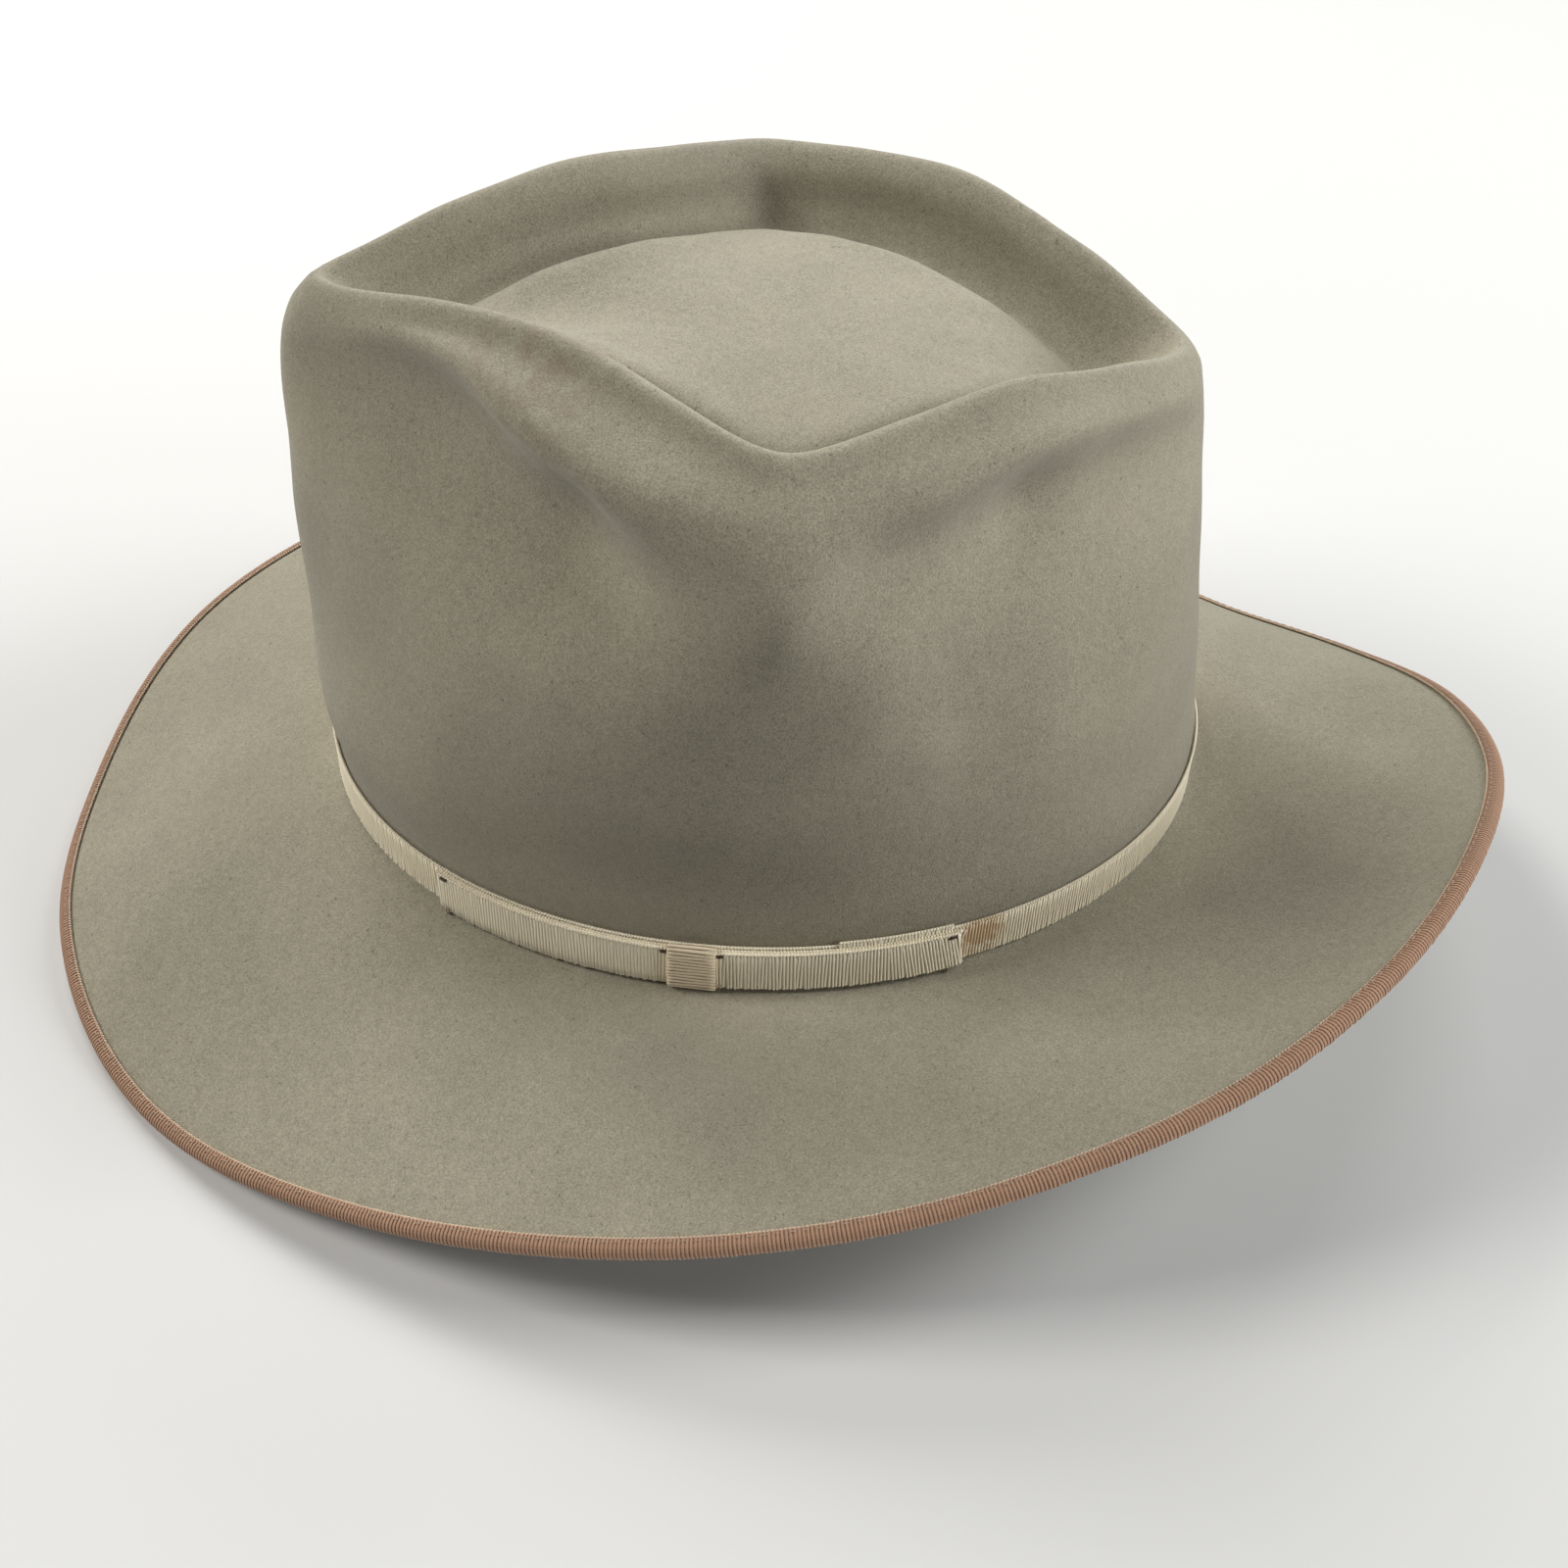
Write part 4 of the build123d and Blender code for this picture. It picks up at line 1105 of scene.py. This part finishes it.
def build_tacks():
    """Knots where the bow is sewn down, coloured near black as painted shade for the small holes there, and
    the loose thread ends below them.
    """
    thread = cloth_finish("band thread", (0.55, 0.47, 0.34), 3000)
    # Painted shade: the knots are near black to stand for the dark holes at the loop ends and the keeper's
    # corners.
    knot_hole_shade_finish = cloth_finish("band knots", (0.085, 0.055, 0.035), 3000)
    knot = bead("tack", 1.7 * MM, 1.2 * MM, radians(35), 0.3 * MM)
    end = bead("thread_end", 2.3 * MM, 0.3 * MM, radians(70), 0.3 * MM)
    reach = np.degrees(0.5 * MM / oval_radius(np.array([100.0]))[0])
    half_keeper = np.degrees(KEEPER_WIDTH / 2 / oval_radius(np.array([KEEPER_ANGLE]))[0])
    top, low = BAND_BASE + BAND_WIDTH - 1.0 * MM, BAND_BASE - 0.1 * MM
    places = (
        ("front_top", FRONT_LOOP_ANGLE - reach, top, knot, knot_hole_shade_finish),
        ("rear_top", REAR_LOOP_ANGLE + reach, top, knot, knot_hole_shade_finish),
        ("keeper_front", KEEPER_ANGLE + half_keeper + reach, top, knot, knot_hole_shade_finish),
        ("keeper_rear", KEEPER_ANGLE - half_keeper - reach, top, knot, knot_hole_shade_finish),
        ("front_low", FRONT_LOOP_ANGLE - reach, low, end, thread),
        ("rear_low", REAR_LOOP_ANGLE + reach, low, end, thread),
        ("keeper_low", KEEPER_ANGLE - half_keeper - reach, low, end, thread),
    )
    tacks = []
    for name, angle, level, item, finish in places:
        angles = np.linspace(angle - 0.2, angle + 0.2, 3)
        line = off_wall(angles, BOW_OUT + 0.12 * MM, level)
        tacks.append(repeated(
            f"bow_tack_{name}", line, outward(angles), item, 3.2 * MM, finish, False, seed=2,
        ))
    remove_items(knot, end)
    return tacks


# ---------------------------------------------------------------------------
# Inside the crown
# ---------------------------------------------------------------------------
def wall_rings(angles, levels, insets):
    """Rings inside the crown's wall, at levels and insets. Below the foot they go straight down."""
    profile = smooth_rings(felt_stations(angles), FELT_STEPS)[WALL_TOP_RING:WALL_FOOT_RING][::-1]
    radii = np.hypot(profile[..., 0], profile[..., 1])
    out = outward(angles)
    rings = []
    for level, inset in zip(levels, insets):
        radius = np.array([np.interp(level, profile[:, j, 2], radii[:, j]) for j in range(len(angles))])
        rings.append(polar(angles, radius, level) - out * np.reshape(inset, (-1, 1)))
    return rings


def leather_inset(level):
    """How far the back of the leather stands in from the crown's outside."""
    share = (level - LEATHER_LOW.z) / (LEATHER_HIGH.z - LEATHER_LOW.z)
    return LEATHER_IN + LEATHER_LEAN * np.clip(share, 0, 1)


def build_leather(settings):
    """Leather sweatband: a leaning strip with rounded edges and a slightly wavy top."""
    angles = np.arange(0, 360, 1.5)
    low, high = LEATHER_LOW.z, LEATHER_HIGH.z
    wave = np.array([noise.noise(Vector((a / 14, 0, 0))) for a in 180 - np.abs(angles - 180)]) * 0.5 + 0.5
    levels = list(np.linspace(low + 0.3 * MM, high - 0.45 * MM, 9))
    back = [(level, leather_inset(level)) for level in levels]
    edge = [
        (high - 0.12 * MM, leather_inset(high) + 0.13 * MM),
        (high, leather_inset(high) + LEATHER / 2),
        (high - 0.12 * MM, leather_inset(high) + LEATHER - 0.13 * MM),
    ]
    front = [(level, leather_inset(level) + LEATHER) for level in reversed(levels)]
    foot = [(low + 0.05 * MM, LEATHER_IN + LEATHER - 0.2 * MM), (low + 0.05 * MM, LEATHER_IN + 0.2 * MM)]
    section = back + edge + front + foot
    insets = [inset + wave * 0.9 * MM * smooth_step(level, low, high) for level, inset in section]
    rings = wall_rings(angles, [level for level, _ in section], insets)
    return strap("sweatband", rings, leather_finish(settings))


def build_tape(settings):
    """Cloth tape folded under the sweatband's foot, and the stitches that hold it to the leather."""
    low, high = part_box("reed_tape")[0].z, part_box("reed_tape")[1].z
    cloth = cloth_finish("tape cloth", (0.40, 0.31, 0.21))
    angles = np.arange(0, 360, 1.5)
    middle, half = (TAPE_BACK_IN + TAPE_FRONT_OUT) / 2, (TAPE_FRONT_OUT - TAPE_BACK_IN) / 2
    inner_half = half - TAPE
    outside = [(high, middle - half), (high / 2, middle - half)]
    inside = [(high - TAPE_LEG_STEP, middle + inner_half), (0, middle + inner_half)]
    for k in range(7):
        turn = pi * k / 6
        outside.append((low + half - half * sin(turn), middle - half * cos(turn)))
        inside.append((low + TAPE + inner_half - inner_half * sin(turn), middle + inner_half * cos(turn)))
    outside += [(0.5 * MM, middle + half), (high - TAPE_LEG_STEP, middle + half)]
    inside += [(high / 2, middle - inner_half), (high, middle - inner_half)]
    section = outside + inside
    tape = strap("reed_tape", wall_rings(angles, [p[0] for p in section], [p[1] for p in section]), cloth)
    thread = cloth_finish("sweatband thread", (0.52, 0.45, 0.33), 3000)
    stitch = bead("sweat_stitch", 1.9 * MM, 0.4 * MM, radians(6), 0.26 * MM)
    seam = wall_rings(angles, [SEAM_LEVEL], [TAPE_FRONT_OUT + 0.16 * MM])[0]
    stitches = repeated(
        "sweatband_stitches", seam, -outward(angles), stitch, settings.stitch_pitch, thread,
        unevenness=0.05, seed=11,
    )
    remove_items(stitch)
    return tape, stitches


def build_sweatband_bow():
    """Small flat bow at the back of the sweatband: two loops and a knot."""
    low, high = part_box("sweatband_bow")
    finish = cloth_finish("bow tape", (0.36, 0.27, 0.18), 1800)
    middle = (low + high) / 2
    half_length, half_height = (high.x - low.x) / 2, (high.z - low.z) / 2
    pieces = []
    for side in (-1, 1):
        points, halves = [], []
        for k in range(21):
            turn = 2 * pi * k / 20
            reach = (1 - cos(turn)) / 2
            depth = high.y - 0.5 * MM - 0.45 * MM * sin(turn)
            points.append((middle.x + side * half_length * reach, depth, middle.z))
            halves.append(half_height * (0.42 + 0.5 * reach))
        path, rise = np.array(points), np.array([0, 0, 1]) * np.array(halves)[:, None]
        inward = flat_normals(path, side) * 0.18 * MM
        spread = (path[:, 0] - middle.x)[:, None]
        hung = path + np.array([0, 0, -1]) * (half_height * 0.18 * spread**2 / half_length**2)
        rings = [hung - rise, hung + rise, hung + rise + inward, hung - rise + inward]
        pieces.append(strap(f"sweatband_bow_loop_{'left' if side > 0 else 'right'}", rings, finish, False))
    rings = []
    for k in range(12):
        turn = 2 * pi * k / 12
        depth = 0.75 * MM * cos(turn)
        height = half_height * 0.62 * np.sign(sin(turn)) * abs(sin(turn)) ** 0.6
        spread = np.array([-2.3, -2.0, 0, 2.0, 2.3]) * MM
        pinch = np.array([0.6, 1.0, 1.05, 1.0, 0.6])
        rings.append(np.stack([
            middle.x + spread, high.y - 0.62 * MM + depth * pinch, middle.z + height * pinch,
        ], -1))
    pieces.append(strap("sweatband_bow_knot", rings, finish, False))
    return pieces


def oval_line(angles, half_width, half_length, level):
    """Points on a level oval."""
    turn = np.radians(angles)
    radius = 1 / np.hypot(np.sin(turn) / half_width, np.cos(turn) / half_length)
    return polar(angles, radius, level)


def half_sizes(low, high):
    """Half the width and half the length of a box."""
    return (high.x - low.x) / 2, (high.y - low.y) / 2


def domed_sheet(name, angles, low, high, shares, rise, thick, finish, pucker=0.0):
    """Thin oval sheet that rises to its middle, as wide as a box, with an optional pucker at its edge."""
    half_width, half_length = half_sizes(low, high)
    upper = []
    for share in shares:
        ring = oval_line(angles, half_width * share + 1e-9, half_length * share + 1e-9, high.z)
        ring[:, 2] += rise * (1 - share**2) + pucker * share**6
        upper.append(ring)
    lower = [ring - np.array([0, 0, thick]) for ring in upper[::-1]]
    return shell_with_poles(name, np.array(upper + lower), finish)


def build_lining_side(settings):
    """Satin side of the lining, in soft gathers that deepen towards the tip."""
    angles = np.arange(0, 360, 0.5)
    tip_level = TIP_LOW.z - LINING_GAP
    half_width, half_length = half_sizes(TIP_LOW, TIP_HIGH)
    folds = np.array([noise.noise(Vector((sin(radians(a)) * 5, cos(radians(a)) * 5, 0))) for a in angles])
    gather = 0.5 + 0.5 * np.cos(np.radians(angles) * LINING_GATHERS + folds * 5)
    lower = list(np.linspace(LINING_FOOT, LEATHER_HIGH.z, 6)) + [LINING_BEND_LEVEL]
    lean = LINING_LEAN / (LEATHER_HIGH.z - LINING_FOOT)
    insets = [TAPE_BACK_IN + lean * (level - LINING_FOOT) for level in lower]
    insets[-1] = LINING_BEND_INSET
    back = wall_rings(angles, lower, insets)
    top = oval_line(angles, half_width, half_length, tip_level)
    for share in np.linspace(0, 1, 11)[1:]:
        ring = back[len(lower) - 1] * (1 - share) + top * share
        ring[:, 2] += 1.2 * MM * sin(pi * share)
        back.append(ring)
    back = np.array(back)
    inward = -ring_normals(back)
    if (inward[-4] * back[-4] * np.array([1, 1, 0])).sum() > 0:
        inward = -inward
    depth = smooth_step(back[..., 2], 50 * MM, tip_level)[..., None] * gather[None, :, None]
    back = back + inward * depth * 1.5 * MM
    face = back + inward * SATIN
    finish = satin_finish("satin", settings.satin_colour)
    return strap("lining_side", np.concatenate([back, face[::-1]]), finish)


def build_lining_tip(settings):
    """Satin oval over the head, puckered a little at its seam."""
    angles = np.arange(0, 360, 1.0)
    return domed_sheet(
        "lining_tip", angles, TIP_LOW, TIP_HIGH, (0.0, 0.12, 0.3, 0.5, 0.7, 0.85, 0.94, 1.0), 1.6 * MM, SATIN,
        satin_finish("tip satin", settings.satin_colour),
        pucker=np.cos(np.radians(angles) * LINING_GATHERS) * 0.35 * MM,
    )


def build_piping():
    """Twisted cord in the seam between the lining's tip and side."""
    finish = cloth_finish("piping cord", (0.42, 0.33, 0.22), 2400)
    low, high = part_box("lining_piping")
    angles = np.arange(0, 360, 1.0)
    radius = (high.z - low.z) / 2
    half_width, half_length = (half - radius for half in half_sizes(low, high))
    level = (low.z + high.z) / 2
    rings = []
    for k in range(8):
        turn = 2 * pi * k / 8
        out = radius * 0.72 * cos(turn)
        rise = radius * 0.72 * sin(turn)
        rings.append(oval_line(angles, half_width + out, half_length + out, level + rise))
    core = strap("lining_piping", rings, finish)
    twist = bead("piping_twist", 2.2 * MM, 1.0 * MM, radians(38), radius * 1.05)
    line = oval_line(angles, half_width, half_length, level - 0.1 * MM)
    lifts = np.tile((0.0, 0.0, -1.0), (len(angles), 1))
    strands = repeated(
        "lining_piping_strands", line, lifts, twist, 0.85 * MM, finish, unevenness=0.02, seed=4,
    )
    remove_items(twist)
    return core, strands


def build_protector():
    """Clear sheet under the lining's tip, with the stitches round its edge."""
    low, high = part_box("tip_protector")
    angles = np.arange(0, 360, 2.0)
    half_width, half_length = half_sizes(low, high)
    sheet = domed_sheet(
        "tip_protector", angles, low, high, (0.0, 0.3, 0.6, 0.85, 0.96, 1.0), 1.4 * MM, high.z - low.z,
        plastic_finish("clear sheet", (0.8, 0.8, 0.74), 0.28),
    )
    thread = cloth_finish("protector thread", (0.52, 0.45, 0.33), 3000)
    stitch = bead("protector_stitch", 2.2 * MM, 0.35 * MM, 0.0, 0.22 * MM)
    line = oval_line(angles, half_width - 1.5 * MM, half_length - 1.5 * MM, low.z - 0.02 * MM)
    lifts = np.tile((0.0, 0.0, -1.0), (len(angles), 1))
    stitches = repeated("tip_protector_stitches", line, lifts, stitch, 3.4 * MM, thread, seed=6)
    remove_items(stitch)
    return sheet, stitches


# ---------------------------------------------------------------------------
# Operators
# ---------------------------------------------------------------------------
class HAT_OT_felt(bpy.types.Operator):
    """Make the crown and brim"""

    bl_idname = "hat.felt"
    bl_label = "Felt"

    def execute(self, context):
        finished(build_felt(context.scene.hat_felt), "felt", "felt_body")
        return {"FINISHED"}


class HAT_OT_binding(bpy.types.Operator):
    """Make the ribbon bound round the brim's edge, and its stitches"""

    bl_idname = "hat.binding"
    bl_label = "Binding"

    def execute(self, context):
        settings = context.scene.hat_ribbon
        base, ribs, selvages = build_binding(settings)
        finished_group([base, ribs, *selvages], "binding_ribbon", "brim_binding")
        finished_group(build_binding_stitches(settings), "binding_thread", "binding_stitching")
        return {"FINISHED"}


class HAT_OT_band(bpy.types.Operator):
    """Make the ribbed band round the crown"""

    bl_idname = "hat.band"
    bl_label = "Band"

    def execute(self, context):
        finished_group(build_band(context.scene.hat_ribbon), "band_ribbon", "hatband")
        return {"FINISHED"}


class HAT_OT_bow(bpy.types.Operator):
    """Make the flat bow on the wearer's left"""

    bl_idname = "hat.bow"
    bl_label = "Bow"

    def execute(self, context):
        groups = build_bow(context.scene.hat_ribbon)
        for pieces, node in zip(groups, ("bow_front_loop", "bow_rear_loop", "bow_keeper")):
            finished_group(pieces, "band_ribbon", node)
        finished_group(build_tacks(), "band_thread", "bow_tacks")
        return {"FINISHED"}


class HAT_OT_sweatband(bpy.types.Operator):
    """Make the leather sweatband with its tape, stitches, reed finish and small bow"""

    bl_idname = "hat.sweatband"
    bl_label = "Sweatband"

    def execute(self, context):
        settings = context.scene.hat_inside
        finished(build_leather(settings), "sweat_leather", "sweatband")
        tape, stitches = build_tape(settings)
        finished(tape, "tape_cloth", "reed_tape")
        finished(stitches, "band_thread", "sweatband_stitching")
        finished_group(build_sweatband_bow(), "tape_cloth", "sweatband_bow")
        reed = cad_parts["sweatband_reed"]
        reed.data.materials.clear()
        reed.data.materials.append(plastic_finish("reed plastic", (0.72, 0.70, 0.62)))
        return {"FINISHED"}


class HAT_OT_lining(bpy.types.Operator):
    """Make the satin lining, its piping and the clear sheet under its tip"""

    bl_idname = "hat.lining"
    bl_label = "Lining"

    def execute(self, context):
        settings = context.scene.hat_inside
        finished(build_lining_side(settings), "satin", "lining_side")
        finished(build_lining_tip(settings), "satin", "lining_tip")
        finished_group(build_piping(), "piping_cord", "lining_piping")
        sheet, stitches = build_protector()
        finished(sheet, "clear_sheet", "tip_protector")
        finished(stitches, "band_thread")
        return {"FINISHED"}


class HAT_OT_stage(bpy.types.Operator):
    """Set up the pale floor, the soft lights and the camera"""

    bl_idname = "hat.stage"
    bl_label = "Stage"

    def execute(self, context):
        build_floor()
        build_lights(context.scene)
        build_camera(context.scene)
        return {"FINISHED"}


# ---------------------------------------------------------------------------
# Stage
# ---------------------------------------------------------------------------
FLOOR_SPAN = 6.0
FLOOR_COLOUR = (0.69, 0.69, 0.675, 1)
FLOOR_ROWS = 9
CAMERA_PLACE = Vector((0.34837, -0.01662, 0.28647))
CAMERA_PITCH = 0.7213
CAMERA_YAW = -0.0612
CAMERA_ROLL = 0.0349
CAMERA_LENS = 42.77
SENSOR_WIDTH = 36
LIGHT_AIM = (0, 0, 0.04)
LIGHT_SIZE = 0.7
LIGHTS = (
    ("front_end", (0.0, -1.34, 1.08), 19.5, (1.0, 0.98, 0.96)),
    ("front_far", (-1.16, -0.67, 1.08), 17, (1.0, 0.99, 0.97)),
    ("rear_far", (-1.16, 0.67, 1.08), 7.5, (1.0, 1.0, 1.0)),
    ("rear_end", (0.0, 1.34, 1.08), 17, (0.98, 0.99, 1.0)),
    ("near_fill", (0.83, 1.44, 0.38), 13, (0.98, 0.98, 1.0)),
)


def build_floor():
    """Wide pale floor at the hat's lowest point."""
    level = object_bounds()[0][2]
    steps = np.linspace(-FLOOR_SPAN, FLOOR_SPAN, FLOOR_ROWS)
    points = [(x, y, level) for y in steps for x in steps]
    floor = new_object("floor", points, band_faces(FLOOR_ROWS, FLOOR_ROWS, closed_columns=False))
    paint = Paint("floor")
    floor.data.materials.append(paint.finish(FLOOR_COLOUR, 0.9))
    floor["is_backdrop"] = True


def area_light(name, place, aim, size, power, colour):
    """One soft square light, aimed at a point."""
    data = bpy.data.lights.new(name, "AREA")
    data.size = size
    data.energy = power
    data.color = colour
    lamp = bpy.data.objects.new(name, data)
    lamp.location = place
    lamp.rotation_euler = (Vector(aim) - Vector(place)).to_track_quat("-Z", "Y").to_euler()
    bpy.context.scene.collection.objects.link(lamp)


def build_lights(scene):
    """Soft lights round the far side and both ends, with a low fill behind the wearer's left shoulder."""
    for name, place, power, colour in LIGHTS:
        area_light(name, place, LIGHT_AIM, LIGHT_SIZE, power, colour)
    scene.view_settings.view_transform = "Standard"


def build_camera(scene):
    """Camera on the wearer's left, a little behind, looking down at the hat."""
    pitch, yaw = CAMERA_PITCH, CAMERA_YAW
    ahead = Vector((-cos(pitch) * cos(yaw), -cos(pitch) * sin(yaw), -sin(pitch)))
    right = ahead.cross(Vector((0, 0, 1))).normalized()
    up = right.cross(ahead)
    rolled = right * cos(CAMERA_ROLL) + up * sin(CAMERA_ROLL)
    rolled_up = up * cos(CAMERA_ROLL) - right * sin(CAMERA_ROLL)
    turn = Matrix((rolled, rolled_up, -ahead)).transposed().to_4x4()
    data = bpy.data.cameras.new("camera")
    data.lens = CAMERA_LENS
    data.sensor_width = SENSOR_WIDTH
    data.clip_start = 0.01
    camera = bpy.data.objects.new("camera", data)
    camera.matrix_world = Matrix.Translation(CAMERA_PLACE) @ turn
    scene.collection.objects.link(camera)
    scene.camera = camera


# ---------------------------------------------------------------------------
# Panel and registration
# ---------------------------------------------------------------------------
class HAT_PT_panel(bpy.types.Panel):
    """Buttons and settings for the hat's pieces"""

    bl_idname = "HAT_PT_panel"
    bl_label = "Felt hat"
    bl_space_type = "VIEW_3D"
    bl_region_type = "UI"
    bl_category = "Hat"

    def draw(self, context):
        for settings in (context.scene.hat_felt, context.scene.hat_ribbon, context.scene.hat_inside):
            for name in settings.bl_rna.properties.keys():
                if name not in ("rna_type", "name"):
                    self.layout.prop(settings, name)
        for operator in OPERATORS:
            self.layout.operator(operator.bl_idname)


GROUPS = {"hat_felt": FeltSettings, "hat_ribbon": RibbonSettings, "hat_inside": InsideSettings}
OPERATORS = (
    HAT_OT_felt, HAT_OT_binding, HAT_OT_band, HAT_OT_bow, HAT_OT_sweatband, HAT_OT_lining, HAT_OT_stage,
)
CLASSES = (*GROUPS.values(), *OPERATORS, HAT_PT_panel)
REPEAT = repeat_recipe()


def register():
    for kind in CLASSES:
        bpy.utils.register_class(kind)
    for name, kind in GROUPS.items():
        setattr(bpy.types.Scene, name, PointerProperty(type=kind))


def unregister():
    for name in GROUPS:
        delattr(bpy.types.Scene, name)
    for kind in reversed(CLASSES):
        bpy.utils.unregister_class(kind)


def main():
    register()
    bpy.ops.hat.felt()
    bpy.ops.hat.binding()
    bpy.ops.hat.band()
    bpy.ops.hat.bow()
    bpy.ops.hat.sweatband()
    bpy.ops.hat.lining()
    bpy.ops.hat.stage()


if __name__ == "__main__":
    main()
